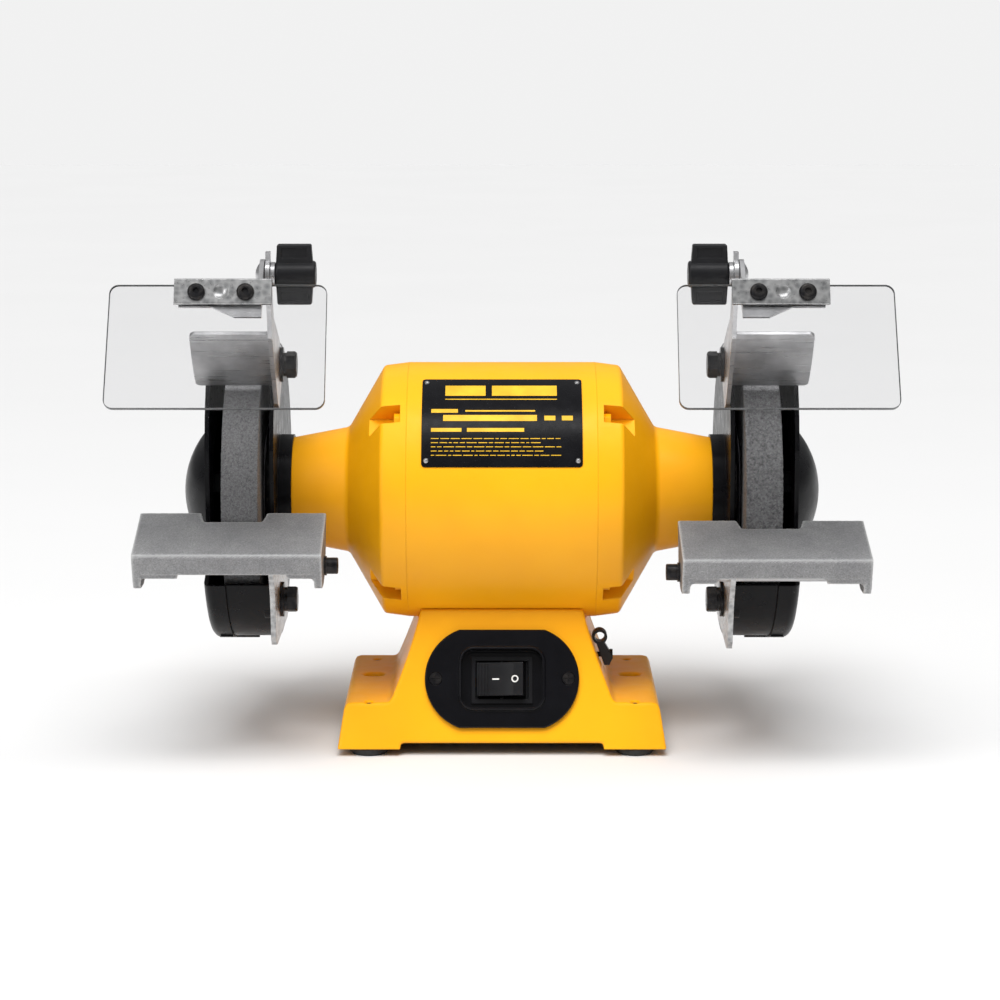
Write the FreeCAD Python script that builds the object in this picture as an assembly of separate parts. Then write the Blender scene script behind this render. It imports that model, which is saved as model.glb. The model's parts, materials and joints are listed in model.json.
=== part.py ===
import FreeCAD, Part

import math
import os

# Bench grinder with two wheels on one motor shaft.
# Shapes are drawn about the middle of the shaft axis: +X along the shaft to the right,
# -Y towards the user, +Z up. Sided parts are drawn on the +X side and mirrored for the left.
# save() then moves every piece so that the origin is on the bench, under the middle of the box.

# --- driving dimensions, mm ---
SHAFT_HEIGHT = 138.5
SHAFT_Y = 27.2

WHEEL_R = 76.2
WHEEL_WIDTH = 20.0
WHEEL_INNER_X = 131.5
WHEEL_OUTER_X = WHEEL_INNER_X + WHEEL_WIDTH
ARBOR_R = 6.35
SHAFT_R = 7.5

FRAME_R = 71.7
FRAME_HALF = 52.0
FRAME_BORE = 67.5
BELL_EDGE_X = 65.8
BELL_EDGE_R = 69.9
NECK_ROOT_X = 85.8
NECK_ROOT_R = 35.3
NECK_END_X = 117.0
NECK_END_R = 29.4
WALL = 4.5
BOLT_RING_R = 63.2
BOLT_ANGLES = (45, 135, 225, 315)
POCKET_X = 55.6
POCKET_HALF = 5.8
POCKET_FLOOR_R = 57.7

STATOR_HALF = 30.0
ROTOR_R = 37.5
STATOR_BORE = 38.0
STATOR_SLOTS = 24

BEARING_IN_X = 92.0
BEARING_WIDTH = 11.0
BEARING_R = 17.5

GUARD_R = 82.5
GUARD_SHEET = 2.5
GUARD_PLATE_X = 124.5
GUARD_SPLIT_X = 150.0
COVER_FACE_X = 162.0
COVER_R = 83.6
DOME_R = 38.0
DOME_HEIGHT = 16.6
HUB_R = 31.0
HUB_CUP_R = 26.5
BOSS_RING_R = 81.6
BOSS_R = 4.0
BOSS_ANGLES = (0, 90, 270)
NECK_SCREW_RING = 19.0
NECK_SCREW_ANGLES = (90, 210, 330)

DEFLECTOR_BOLT = (-28.0, 74.0)
DEFLECTOR_LOW = (-47.5, 65.0)
DEFLECTOR_HIGH = (-79.0, 96.5)
DEFLECTOR_TRAVEL = 8.0
DEFLECTOR_OUTER_X = 166.5
KNOB_AXIS = (-88.0, 129.5)
KNOB_HUB_R = 7.2
KNOB_REACH = 16.0

PANE_TOP = (-112.0, 126.5)
PANE_BOTTOM = (-140.0, 65.5)
PANE_THICK = 3.0
PANE_IN_X = 90.6
PANE_OUT_TOP_X = 203.5
PANE_OUT_LOW_X = 205.0
CLAMP_SCREW_X = (132.8, 158.2)
CLAMP_SCREW_DOWN = 5.0
BAR_X = (119.2, 169.8)

BRACKET_X = 121.5
BRACKET_THICK = 2.8
BRACKET_BOLT = (-50.0, -53.0)
BRACKET_TRAVEL = 12.0
BRACKET_LEAN = {"left": 0.0, "right": 4.2}

REST_PIVOT = (-92.0, -26.0)
REST_LEAN = {"left": 18.5, "right": 12.0}
REST_IN_X = 95.0
REST_OUT_X = 195.5
REST_TOP = 16.8
REST_BACK = -28.8
REST_FRONT = 18.7
REST_NOTCH_X = (129.0, 160.2)
REST_NOTCH = 10.0

CAST_BOTTOM = -134.5
FOOT_TOP = -110.0
CAST_FRONT_Y = -66.0
CAST_BACK_Y = 64.0
FACE_TOP = (-38.0, -58.3)
FACE_RAKE = 20.1
BACK_TOP_Y = 36.0
FOOT_HALF_LOW = 90.6
FOOT_HALF_TOP = 86.6
PEDESTAL_LOW = 60.8
PEDESTAL_TOP = 43.5
PEDESTAL_START = 2.5
PEDESTAL_RISE = 55.5
PEDESTAL_FLARE = 1.35
CAST_WALL = 5.0
WEB_UNDER = -78.0
SADDLE_GAP = 0.1
SADDLE_SCREWS = ((-30.0, -8.0), (30.0, -8.0))
COVER_SCREWS = ((-46.0, -46.0), (46.0, -46.0), (-46.0, 44.0), (46.0, 44.0))
SLOT_X = 73.5
SLOT_Y = 12.0
SLOT_R = 4.0
SLOT_LENGTH = 12.0
RUBBER_X = 73.5
RUBBER_Y = (-54.0, 50.0)
RUBBER_R = 11.0
GLAND_X = 32.0
GLAND_Z = -121.0
CLIP_Y = -24.0
CLIP_SCREW_Z = -90.0
CLIP_EYE_Z = -79.4
CLIP_EYE_R = 4.2
CLIP_HOLE_R = 2.8
CAPACITOR_R = 16.0
CAPACITOR_AT = (22.0, -98.0)

PLATE_FROM_TOP = 41.9
PLATE_HALF_W = 42.6
PLATE_HALF_H = 27.25
PLATE_FLAT_HALF = 23.6
PLATE_END_R = 29.0
PLATE_THICK = 3.0
PLATE_SCREWS = (-36.7, 36.7)
ROCKER_AXIS_OUT = -6.5
ROCKER_ANGLE = 9.0

X_AXIS = FreeCAD.Vector(1, 0, 0)
Y_AXIS = FreeCAD.Vector(0, 1, 0)
Z_AXIS = FreeCAD.Vector(0, 0, 1)
ORIGIN = FreeCAD.Vector(0, 0, 0)


# --- small drawing helpers ---
def vec(x, y, z):
    return FreeCAD.Vector(x, y, z)


def rod_x(x0, x1, radius, y=0.0, z=0.0):
    return Part.makeCylinder(radius, x1 - x0, vec(x0, y, z), X_AXIS)


def ring_x(x0, x1, outer, inner, y=0.0, z=0.0):
    return rod_x(x0, x1, outer, y, z).cut(rod_x(x0 - 1, x1 + 1, inner, y, z))


def block(x0, x1, y0, y1, z0, z1):
    return Part.makeBox(x1 - x0, y1 - y0, z1 - z0, vec(x0, y0, z0))


def turned(points):
    """A solid of revolution about the shaft from (x, radius) points."""
    wire = Part.makePolygon([vec(x, r, 0) for x, r in points + points[:1]])
    return Part.Face(wire).revolve(ORIGIN, X_AXIS, 360)


def sheet_x(points, x0, thickness):
    """A flat plate square to X, with its outline as (y, z) points."""
    wire = Part.makePolygon([vec(x0, y, z) for y, z in points + points[:1]])
    return Part.Face(wire).extrude(vec(thickness, 0, 0))


def slab_y(points, y0, y1):
    """A solid with a constant outline in (x, z), running from y0 to y1."""
    wire = Part.makePolygon([vec(x, y0, z) for x, z in points + points[:1]])
    return Part.Face(wire).extrude(vec(0, y1 - y0, 0))


def hexagon_x(x0, x1, across_flats, y, z, turn=0.0):
    radius = across_flats / math.sqrt(3)
    points = []
    for step in range(6):
        angle = math.radians(60 * step + turn)
        points.append((y + radius * math.cos(angle), z + radius * math.sin(angle)))
    return sheet_x(points, x0, x1 - x0)


def joined(shapes):
    result = shapes[0]
    for shape in shapes[1:]:
        result = result.fuse(shape)
    return result.removeSplitter()


def without(shape, tools):
    for tool in tools:
        shape = shape.cut(tool)
    return shape


def polar(radius, degrees):
    angle = math.radians(degrees)
    return radius * math.cos(angle), radius * math.sin(angle)


def rounded(shape, radius, pick):
    edges = [edge for edge in shape.Edges if pick(edge)]
    if not edges:
        return shape
    try:
        softened = shape.makeFillet(radius, edges)
    except Part.OCCError:
        return shape
    return softened if softened.isValid() else shape


def mirrored(shape):
    return shape.mirror(ORIGIN, X_AXIS)


def save(name, shape):
    placed = shape.copy()
    placed.translate(vec(0, SHAFT_Y, SHAFT_HEIGHT))
    placed.exportStep("parts/" + name + ".step")


def save_pair(name, shape):
    save("right_" + name, shape)
    save("left_" + name, mirrored(shape))


# --- motor ---
def motor_frame():
    shell = ring_x(-FRAME_HALF, FRAME_HALF, FRAME_R, FRAME_BORE)
    holes = [Part.makeCylinder(7, 12, vec(0, 0, -FRAME_R - 2), Z_AXIS)]
    for x, y in SADDLE_SCREWS:
        holes.append(Part.makeCylinder(2.55, 20, vec(x, y, -FRAME_R - 2), Z_AXIS))
    return without(shell, holes)


def end_bell():
    """A cone-shaped end casting with the bearing seat in its neck."""
    outside = turned([
        (FRAME_HALF, 0), (FRAME_HALF, FRAME_R), (BELL_EDGE_X, BELL_EDGE_R),
        (NECK_ROOT_X, NECK_ROOT_R), (NECK_END_X, NECK_END_R), (NECK_END_X, 0),
    ])
    outside = rounded(outside, 3.0, lambda e: abs(e.BoundBox.XMin - BELL_EDGE_X) < 0.01
                      and abs(e.BoundBox.XMax - BELL_EDGE_X) < 0.01)
    outside = rounded(outside, 4.0, lambda e: abs(e.BoundBox.XMin - NECK_ROOT_X) < 0.01
                      and abs(e.BoundBox.XMax - NECK_ROOT_X) < 0.01)
    hollow = turned([
        (FRAME_HALF - 1, 0), (FRAME_HALF - 1, FRAME_BORE), (BELL_EDGE_X - 3, BELL_EDGE_R - WALL),
        (NECK_ROOT_X - 3, NECK_ROOT_R - WALL), (NECK_END_X - 6, NECK_END_R - WALL),
        (NECK_END_X - 6, 0),
    ])
    seat_end = BEARING_IN_X + BEARING_WIDTH
    seat = ring_x(BEARING_IN_X - 1, seat_end + 2, BEARING_R + 4.5, BEARING_R)
    lip = ring_x(seat_end, seat_end + 2, BEARING_R + 1, BEARING_R - 4)
    web = ring_x(BEARING_IN_X + 2, BEARING_IN_X + 7, NECK_ROOT_R - 3.5, BEARING_R + 4)
    bell = joined([outside.cut(hollow), seat, lip, web])
    bell = bell.cut(rod_x(NECK_END_X - 8, NECK_END_X + 1, SHAFT_R + 2))
    bosses = []
    pockets = []
    for angle in BOLT_ANGLES:
        y, z = polar(BOLT_RING_R, angle)
        boss = block(FRAME_HALF, 82, -POCKET_HALF - 3, POCKET_HALF + 3, POCKET_FLOOR_R - 3.5, FRAME_R)
        boss.rotate(ORIGIN, X_AXIS, angle - 90)
        bosses.append(boss.common(outside).cut(rod_x(FRAME_HALF - 1, 90, POCKET_FLOOR_R - 3)))
        pocket = block(POCKET_X, 90, -POCKET_HALF, POCKET_HALF, POCKET_FLOOR_R, FRAME_R + 4)
        pocket.rotate(ORIGIN, X_AXIS, angle - 90)
        pockets.append(pocket)
        pockets.append(rod_x(FRAME_HALF - 1, 60, 2.7, y, z))
    bell = joined([bell] + bosses)
    for angle in NECK_SCREW_ANGLES:
        y, z = polar(NECK_SCREW_RING, angle)
        pockets.append(rod_x(NECK_END_X - 7, NECK_END_X + 1, 2.5, y, z))
    return without(bell, pockets)


def stator_core():
    core = ring_x(-STATOR_HALF, STATOR_HALF, FRAME_BORE - 0.05, STATOR_BORE)
    slots = []
    for step in range(STATOR_SLOTS):
        slot = block(-STATOR_HALF - 1, STATOR_HALF + 1, -2.0, 2.0, STATOR_BORE + 1.5, 55)
        slot.rotate(ORIGIN, X_AXIS, 360 / STATOR_SLOTS * step)
        slots.append(slot)
    for angle in BOLT_ANGLES:
        y, z = polar(BOLT_RING_R, angle)
        slots.append(rod_x(-STATOR_HALF - 1, STATOR_HALF + 1, 2.8, y, z))
    return without(core, [Part.makeCompound(slots)])


def stator_windings():
    """Coil sides in the slots, gathered into one end turn at each end."""
    coils = [ring_x(STATOR_HALF + 0.5, STATOR_HALF + 13, 55, 40)]
    coils.append(ring_x(-STATOR_HALF - 13, -STATOR_HALF - 0.5, 55, 40))
    for step in range(STATOR_SLOTS):
        side = block(-STATOR_HALF - 1, STATOR_HALF + 1, -1.7, 1.7, 40.5, 54.5)
        side.rotate(ORIGIN, X_AXIS, 360 / STATOR_SLOTS * step)
        coils.append(side)
    return joined(coils)


def rotor_core():
    core = ring_x(-STATOR_HALF, STATOR_HALF, ROTOR_R, SHAFT_R)
    rings = [ring_x(STATOR_HALF, STATOR_HALF + 6, 33, 24), ring_x(-STATOR_HALF - 6, -STATOR_HALF, 33, 24)]
    for step in range(8):
        for x0 in (STATOR_HALF + 5, -STATOR_HALF - 12):
            fin = block(x0, x0 + 7, -1.0, 1.0, 25, 32)
            fin.rotate(ORIGIN, X_AXIS, 45 * step)
            rings.append(fin)
    return joined([core] + rings)


def shaft():
    half = [
        (0, 0), (0, SHAFT_R), (BEARING_IN_X + BEARING_WIDTH + 4, SHAFT_R),
        (BEARING_IN_X + BEARING_WIDTH + 4, SHAFT_R - 0.1), (122.6, SHAFT_R - 0.1),
        (122.6, ARBOR_R), (170.0, ARBOR_R), (171.5, ARBOR_R - 1.2), (171.5, 0),
    ]
    right = turned(half)
    return joined([right, mirrored(right)])


def bearing_parts():
    """Outer rings, inner rings and balls of the two ball bearings."""
    outer = ring_x(BEARING_IN_X, BEARING_IN_X + BEARING_WIDTH, BEARING_R, 14.6)
    inner = ring_x(BEARING_IN_X, BEARING_IN_X + BEARING_WIDTH, 10.2, SHAFT_R)
    middle = BEARING_IN_X + BEARING_WIDTH / 2
    groove = Part.makeTorus(12.4, 3.1, vec(middle, 0, 0), X_AXIS)
    balls = []
    for step in range(8):
        y, z = polar(12.4, 45 * step)
        balls.append(Part.makeSphere(3.0, vec(middle, y, z)))
    return outer.cut(groove), inner.cut(groove), balls


def both_sides(shapes):
    return Part.makeCompound(list(shapes) + [mirrored(shape) for shape in shapes])


def through_bolts():
    bolts = []
    for angle in BOLT_ANGLES:
        y, z = polar(BOLT_RING_R, angle)
        stem = rod_x(-58, 55.6, 2.5, y, z)
        head = hexagon_x(55.7, 59.5, 8, y, z, angle)
        nut = hexagon_x(-59.0, -55.7, 8, y, z, angle)
        bolts.append(joined([stem.fuse(rod_x(55.6, 56.5, 2.5, y, z)), head, nut]))
    return Part.makeCompound(bolts)


def nameplate():
    plate = ring_x(-43.7, 43.7, FRAME_R + 0.6, FRAME_R + 0.02)
    low = sheet_x([(0, 0), polar(120, 180 - 19), polar(120, 180 - 66.3)], -50, 100)
    plate = plate.common(low)
    return rounded(plate, 2.0, lambda e: abs(e.Length - 0.58) < 0.01)


def nameplate_rivets():
    rivets = []
    for x in (-41.2, 41.2):
        for angle in (180 - 21.8, 180 - 63.5):
            y, z = polar(FRAME_R + 0.55, angle)
            out = vec(0, y, z).normalize()
            head = Part.makeSphere(1.7, vec(x, y, z) - out * 0.7)
            base = Part.makeCylinder(3, 3, vec(x, y, z) - out * 2.93, out)
            rivets.append(head.cut(base))
    return Part.makeCompound(rivets)


# --- spindle stack ---
def grinding_wheel():
    wheel = ring_x(WHEEL_INNER_X, WHEEL_OUTER_X, WHEEL_R, ARBOR_R + 9)
    wheel = rounded(wheel, 0.8, lambda e: e.BoundBox.YLength > 2 * WHEEL_R - 1 and e.BoundBox.XLength < 0.1)
    bush = ring_x(WHEEL_INNER_X, WHEEL_OUTER_X, ARBOR_R + 9, ARBOR_R + 0.05)
    return joined([wheel, bush])


def wheel_flanges():
    inner = turned([
        (122.7, ARBOR_R + 0.02), (122.7, 14), (126.5, 14), (128.6, 25), (131.0, 25), (131.0, 19),
        (130.2, 19), (130.2, ARBOR_R + 0.02),
    ])
    outer = turned([
        (152.8, ARBOR_R + 0.02), (152.8, 19), (152.0, 19), (152.0, 25), (154.4, 25), (156.0, 14),
        (157.4, 14), (157.4, ARBOR_R + 0.02),
    ])
    return inner, outer


def blotters():
    inner = ring_x(131.02, 131.48, 37.5, 10)
    outer = ring_x(151.52, 151.98, 37.5, 10)
    return both_sides([inner, outer])


def arbor_nut():
    nut = hexagon_x(157.5, 168.0, 19.0, 0, 0).cut(rod_x(150, 175, ARBOR_R + 0.03))
    crown = Part.makeCone(14.0, 9.0, 5.0, vec(163.0, 0, 0), X_AXIS)
    crown = crown.fuse(rod_x(157.0, 163.0, 14.0))
    return nut.common(crown)


# --- wheel guards ---
def guard_opening(x0, x1):
    """The space cut from a guard so that the wheel faces the user."""
    top = polar(GUARD_R + 12, 180 - 61)
    outline = [
        (-37.0, 76.0), (-38.0, 70.0), (-50.0, 48.0), (-54.0, 30.0),
        (-54.0, -28.0), (-60.0, -37.0), (-70.0, -41.0), (-130, -41.0),
        (-130, top[1] + 30), (top[0] + 4, top[1] + 30),
    ]
    return sheet_x(outline, x0, x1 - x0)


def inner_guard():
    cup = turned([
        (NECK_END_X + 0.02, 10.5), (NECK_END_X + 0.02, HUB_R), (GUARD_PLATE_X + 1, HUB_R),
        (GUARD_PLATE_X + 1, HUB_CUP_R), (NECK_END_X + 3.5, HUB_CUP_R), (NECK_END_X + 3.5, 10.5),
    ])
    plate = ring_x(GUARD_PLATE_X, GUARD_PLATE_X + GUARD_SHEET, GUARD_R, HUB_CUP_R)
    rim = ring_x(GUARD_PLATE_X, GUARD_SPLIT_X, GUARD_R, GUARD_R - GUARD_SHEET)
    shell = joined([cup, plate, rim])
    shell = rounded(shell, 1.6, lambda e: abs(e.BoundBox.XMin - GUARD_PLATE_X) < 0.01
                    and e.BoundBox.XLength < 0.01 and e.BoundBox.YLength > 2 * GUARD_R - 1)
    shell = shell.cut(guard_opening(GUARD_PLATE_X - 1, GUARD_SPLIT_X + 1))
    bosses = []
    holes = []
    for angle in BOSS_ANGLES:
        y, z = polar(BOSS_RING_R, angle)
        bosses.append(rod_x(GUARD_SPLIT_X - 12, GUARD_SPLIT_X, BOSS_R, y, z))
        holes.append(rod_x(GUARD_SPLIT_X - 10, GUARD_SPLIT_X + 1, 1.6, y, z))
    for (y, z), radius in ((DEFLECTOR_BOLT, 10.0), (BRACKET_BOLT, 10.5)):
        bosses.append(rod_x(GUARD_PLATE_X, GUARD_PLATE_X + 5.8, radius, y, z))
        holes.append(rod_x(GUARD_PLATE_X - 1, GUARD_PLATE_X + 5, 4.0, y, z))
    for angle in NECK_SCREW_ANGLES:
        y, z = polar(NECK_SCREW_RING, angle)
        holes.append(rod_x(NECK_END_X - 1, NECK_END_X + 4, 2.6, y, z))
        sink = Part.makeCone(2.6, 5.2, 2.6, vec(NECK_END_X + 1.0, y, z), X_AXIS)
        holes.append(sink)
    return without(joined([shell] + bosses), holes)


def guard_cover():
    """The outer half of a guard: a skirt, a flat face and a domed middle."""
    dome_sphere = (DOME_R ** 2 + DOME_HEIGHT ** 2) / (2 * DOME_HEIGHT)
    centre = vec(COVER_FACE_X + DOME_HEIGHT - dome_sphere, 0, 0)
    split = GUARD_SPLIT_X + 0.05
    drum = rod_x(split, COVER_FACE_X, COVER_R)
    drum = rounded(drum, 5.0, lambda e: abs(e.BoundBox.XMin - COVER_FACE_X) < 0.01
                   and e.BoundBox.XLength < 0.01)
    dome = Part.makeSphere(dome_sphere, centre).common(rod_x(COVER_FACE_X - 2, 190, DOME_R + 2))
    inside_drum = rod_x(split - 1, COVER_FACE_X - 2.5, COVER_R - 2.6)
    inside_dome = Part.makeSphere(dome_sphere - 2.2, centre)
    inside_dome = inside_dome.common(rod_x(COVER_FACE_X - 4, 190, DOME_R))
    cover = drum.fuse(dome).removeSplitter()
    cover = without(cover, [inside_drum, inside_dome, guard_opening(split - 1, COVER_FACE_X + 0.5)])
    bosses = []
    holes = []
    for angle in BOSS_ANGLES:
        y, z = polar(BOSS_RING_R, angle)
        bosses.append(rod_x(split, COVER_FACE_X - 1.5, BOSS_R, y, z))
        holes.append(rod_x(split - 1, COVER_FACE_X + 1, 2.1, y, z))
        holes.append(rod_x(COVER_FACE_X - 4.0, COVER_FACE_X + 1, 3.3, y, z))
    ribs = []
    for angle in (22, 45, 68, 112, 248, 292, 315, 338):
        rib = block(split, COVER_FACE_X - 5, -0.9, 0.9, COVER_R - 2, COVER_R + 0.9)
        rib.rotate(ORIGIN, X_AXIS, angle - 90)
        ribs.append(rib)
    return without(joined([cover] + bosses + ribs), holes)


def guard_cover_screws():
    screws = []
    for angle in BOSS_ANGLES:
        y, z = polar(BOSS_RING_R, angle)
        stem = rod_x(GUARD_SPLIT_X - 8, COVER_FACE_X - 3.5, 1.55, y, z)
        head = rod_x(COVER_FACE_X - 3.9, COVER_FACE_X - 1.4, 3.1, y, z)
        slot = block(COVER_FACE_X - 2.4, COVER_FACE_X, y - 4, y + 4, z - 0.5, z + 0.5)
        screws.append(stem.fuse(head).cut(slot))
    return both_sides(screws)


def guard_mount_screws():
    screws = []
    for angle in NECK_SCREW_ANGLES:
        y, z = polar(NECK_SCREW_RING, angle)
        stem = rod_x(NECK_END_X - 6, NECK_END_X + 2.5, 2.4, y, z)
        head = Part.makeCone(2.5, 5.0, 2.5, vec(NECK_END_X + 1.0, y, z), X_AXIS)
        screws.append(stem.fuse(head))
    return both_sides(screws)


# --- spark deflectors and eye shields ---
def deflector_direction():
    dy = DEFLECTOR_HIGH[0] - DEFLECTOR_LOW[0]
    dz = DEFLECTOR_HIGH[1] - DEFLECTOR_LOW[1]
    length = math.hypot(dy, dz)
    return dy / length, dz / length


def slot_x(y, z, dy, dz, travel, radius, x0, x1):
    """A slot square to X that starts at (y, z) and runs along (dy, dz)."""
    side = (-dz * radius, dy * radius)
    end = (y + dy * travel, z + dz * travel)
    outline = [
        (y + side[0], z + side[1]), (end[0] + side[0], end[1] + side[1]),
        (end[0] - side[0], end[1] - side[1]), (y - side[0], z - side[1]),
    ]
    middle = sheet_x(outline, x0, x1 - x0)
    return joined([middle, rod_x(x0, x1, radius, y, z), rod_x(x0, x1, radius, end[0], end[1])])


def spark_deflector():
    dy, dz = deflector_direction()
    flange_x = GUARD_PLATE_X - 0.2 - 2.4
    low_y, low_z = DEFLECTOR_LOW
    high_y, high_z = DEFLECTOR_HIGH
    bolt_y, bolt_z = DEFLECTOR_BOLT
    knob_y, knob_z = KNOB_AXIS
    outline = [
        (bolt_y + 4, bolt_z - 11), (low_y + 8, low_z - 14), (low_y - 1, low_z - 10),
        (high_y - 3, high_z - 2), (high_y - 6, high_z + 8), (knob_y - 8, knob_z - 1),
        (knob_y + 8, knob_z), (high_y + 9, high_z + 8), (bolt_y - 8, bolt_z + 16), (bolt_y + 9, bolt_z + 6),
    ]
    flange = sheet_x(outline, flange_x, 2.4)
    flange = joined([flange, rod_x(flange_x, flange_x + 2.4, 8.0, knob_y, knob_z),
                     rod_x(flange_x, flange_x + 2.4, 11.0, bolt_y, bolt_z)])
    nub = block(flange_x, flange_x + 2.4, knob_y - 3, knob_y + 3, knob_z + 5, knob_z + 12)
    middle = ((low_y + high_y) / 2 - 2.2 * dz, (low_z + high_z) / 2 + 2.2 * dy)
    arc = Part.Arc(vec(flange_x, low_y, low_z), vec(flange_x, middle[0], middle[1]),
                   vec(flange_x, high_y, high_z)).toShape()
    back = arc.copy()
    back.translate(vec(0, 2.0 * dz, -2.0 * dy))
    start = Part.makeLine(arc.Vertexes[0].Point, back.Vertexes[0].Point)
    end = Part.makeLine(arc.Vertexes[1].Point, back.Vertexes[1].Point)
    face = Part.Face(Part.Wire(Part.__sortEdges__([arc, back, start, end])))
    wing = face.extrude(vec(DEFLECTOR_OUTER_X - flange_x, 0, 0))
    wing = rounded(wing, 3.0, lambda e: e.BoundBox.XMin > DEFLECTOR_OUTER_X - 0.1
                   and abs(e.Length - 2.0) < 0.05)
    shape = joined([flange, nub, wing])
    slot = slot_x(bolt_y, bolt_z, -dy, -dz, DEFLECTOR_TRAVEL, 4.3, flange_x - 1, flange_x + 4)
    bolt_hole = rod_x(flange_x - 1, flange_x + 4, 3.05, knob_y, knob_z)
    return without(shape, [slot, bolt_hole])


def hex_bolt(y, z, washer_x, turn):
    """A hex bolt with lock washer and flat washer, threaded into a guard boss."""
    washer = ring_x(washer_x - 1.6, washer_x, 9.6, 4.0, y, z)
    lock = ring_x(washer_x - 3.4, washer_x - 1.6, 6.6, 4.0, y, z)
    head = hexagon_x(washer_x - 8.9, washer_x - 3.4, 13.0, y, z, turn)
    crown = Part.makeCone(6.4, 7.6, 1.2, vec(washer_x - 8.9, y, z), X_AXIS)
    crown = crown.fuse(rod_x(washer_x - 7.7, washer_x, 7.6, y, z))
    stem = rod_x(washer_x - 4, GUARD_PLATE_X + 4.6, 3.95, y, z)
    return joined([stem, washer, lock, head.common(crown)])


def knob_bolt():
    """The carriage bolt and washer that the wing knob turns on."""
    y, z = KNOB_AXIS
    stem = rod_x(104.0, 128.0, 3.0, y, z)
    head = Part.makeSphere(9.0, vec(120.8, y, z)).common(rod_x(127.2, 132, 7.0, y, z))
    stop = ring_x(119.4, 121.6, 6.5, 2.9, y, z)
    return joined([stem, head, stop])


def wing_knob():
    """A moulded knob: a round hub with a flat wing up and a flat wing down."""
    y, z = KNOB_AXIS
    hub = rod_x(97.9, 119.2, KNOB_HUB_R, y, z)
    hub = rounded(hub, 1.4, lambda e: e.BoundBox.XLength < 0.1)
    outline = [(100.2, -KNOB_REACH), (118.2, -KNOB_REACH), (118.9, -4.0), (118.9, 4.0), (118.2, KNOB_REACH),
               (100.2, KNOB_REACH), (99.3, 4.0), (99.3, -4.0)]
    wings = slab_y([(x, z + height) for x, height in outline], y - 3.7, y + 3.7)
    wings = rounded(wings, 1.1, lambda e: abs(e.BoundBox.Center.z - z) > 5)
    knob = joined([wings, hub])
    recess = []
    for side in (1, -1):
        for face in (1, -1):
            middle = z + side * (KNOB_REACH + KNOB_HUB_R) / 2
            dish = block(102.5, 116.0, y + face * 3.4 - 0.6, y + face * 3.4 + 0.6, middle - 2.6, middle + 2.6)
            recess.append(dish)
    recess.append(rod_x(102.5, 125, 3.05, y, z))
    return without(knob, recess)


def pane_frame():
    """Unit vectors down the eye shield and out of its front face."""
    dy = PANE_BOTTOM[0] - PANE_TOP[0]
    dz = PANE_BOTTOM[1] - PANE_TOP[1]
    length = math.hypot(dy, dz)
    return (dy / length, dz / length), (dz / length, -dy / length), length


def pane_point(down, out):
    """The (y, z) of a point so far down the shield and so far out from its front face."""
    (dy, dz), (ny, nz), _ = pane_frame()
    return PANE_TOP[0] + down * dy + out * ny, PANE_TOP[1] + down * dz + out * nz


def leaning_block(x0, x1, down0, down1, out0, out1):
    corners = [pane_point(down0, out0), pane_point(down1, out0),
               pane_point(down1, out1), pane_point(down0, out1)]
    return sheet_x(corners, x0, x1 - x0)


def leaning_rod(x, down, out0, out1, radius):
    y0, z0 = pane_point(down, out0)
    y1, z1 = pane_point(down, out1)
    return Part.makeCylinder(radius, abs(out1 - out0), vec(x, y0, z0), vec(0, y1 - y0, z1 - z0))


def shield_pane():
    _, _, length = pane_frame()
    outline = [(PANE_IN_X, 0), (PANE_OUT_TOP_X, 0), (PANE_OUT_LOW_X, length), (PANE_IN_X + 0.4, length)]
    points = []
    for x, down in outline:
        y, z = pane_point(down, 0)
        points.append(vec(x, y, z))
    wire = Part.makePolygon(points + points[:1])
    _, (ny, nz), _ = pane_frame()
    pane = Part.Face(wire).extrude(vec(0, -ny * PANE_THICK, -nz * PANE_THICK))
    pane = rounded(pane, 5.0, lambda e: abs(e.Length - PANE_THICK) < 0.01)
    holes = [leaning_rod(x, CLAMP_SCREW_DOWN, -5, 2, 2.7) for x in CLAMP_SCREW_X]
    return without(pane, holes)


def clamp_bar():
    bar = leaning_block(BAR_X[0], BAR_X[1], -2.6, 11.4, 0.05, 2.4)
    bar = rounded(bar, 0.7, lambda e: e.BoundBox.XLength > 40)
    lip = leaning_block(BAR_X[0], BAR_X[1], -2.6, -0.4, -2.9, 0.3)
    holes = [leaning_rod(x, CLAMP_SCREW_DOWN, -1, 4, 2.7) for x in CLAMP_SCREW_X]
    dent = Part.makeSphere(7.0, vec(0, 0, 0))
    y, z = pane_point(4.6, 8.2)
    dent.translate(vec((CLAMP_SCREW_X[0] + CLAMP_SCREW_X[1]) / 2, y, z))
    return without(joined([bar, lip]), holes + [dent])


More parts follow.
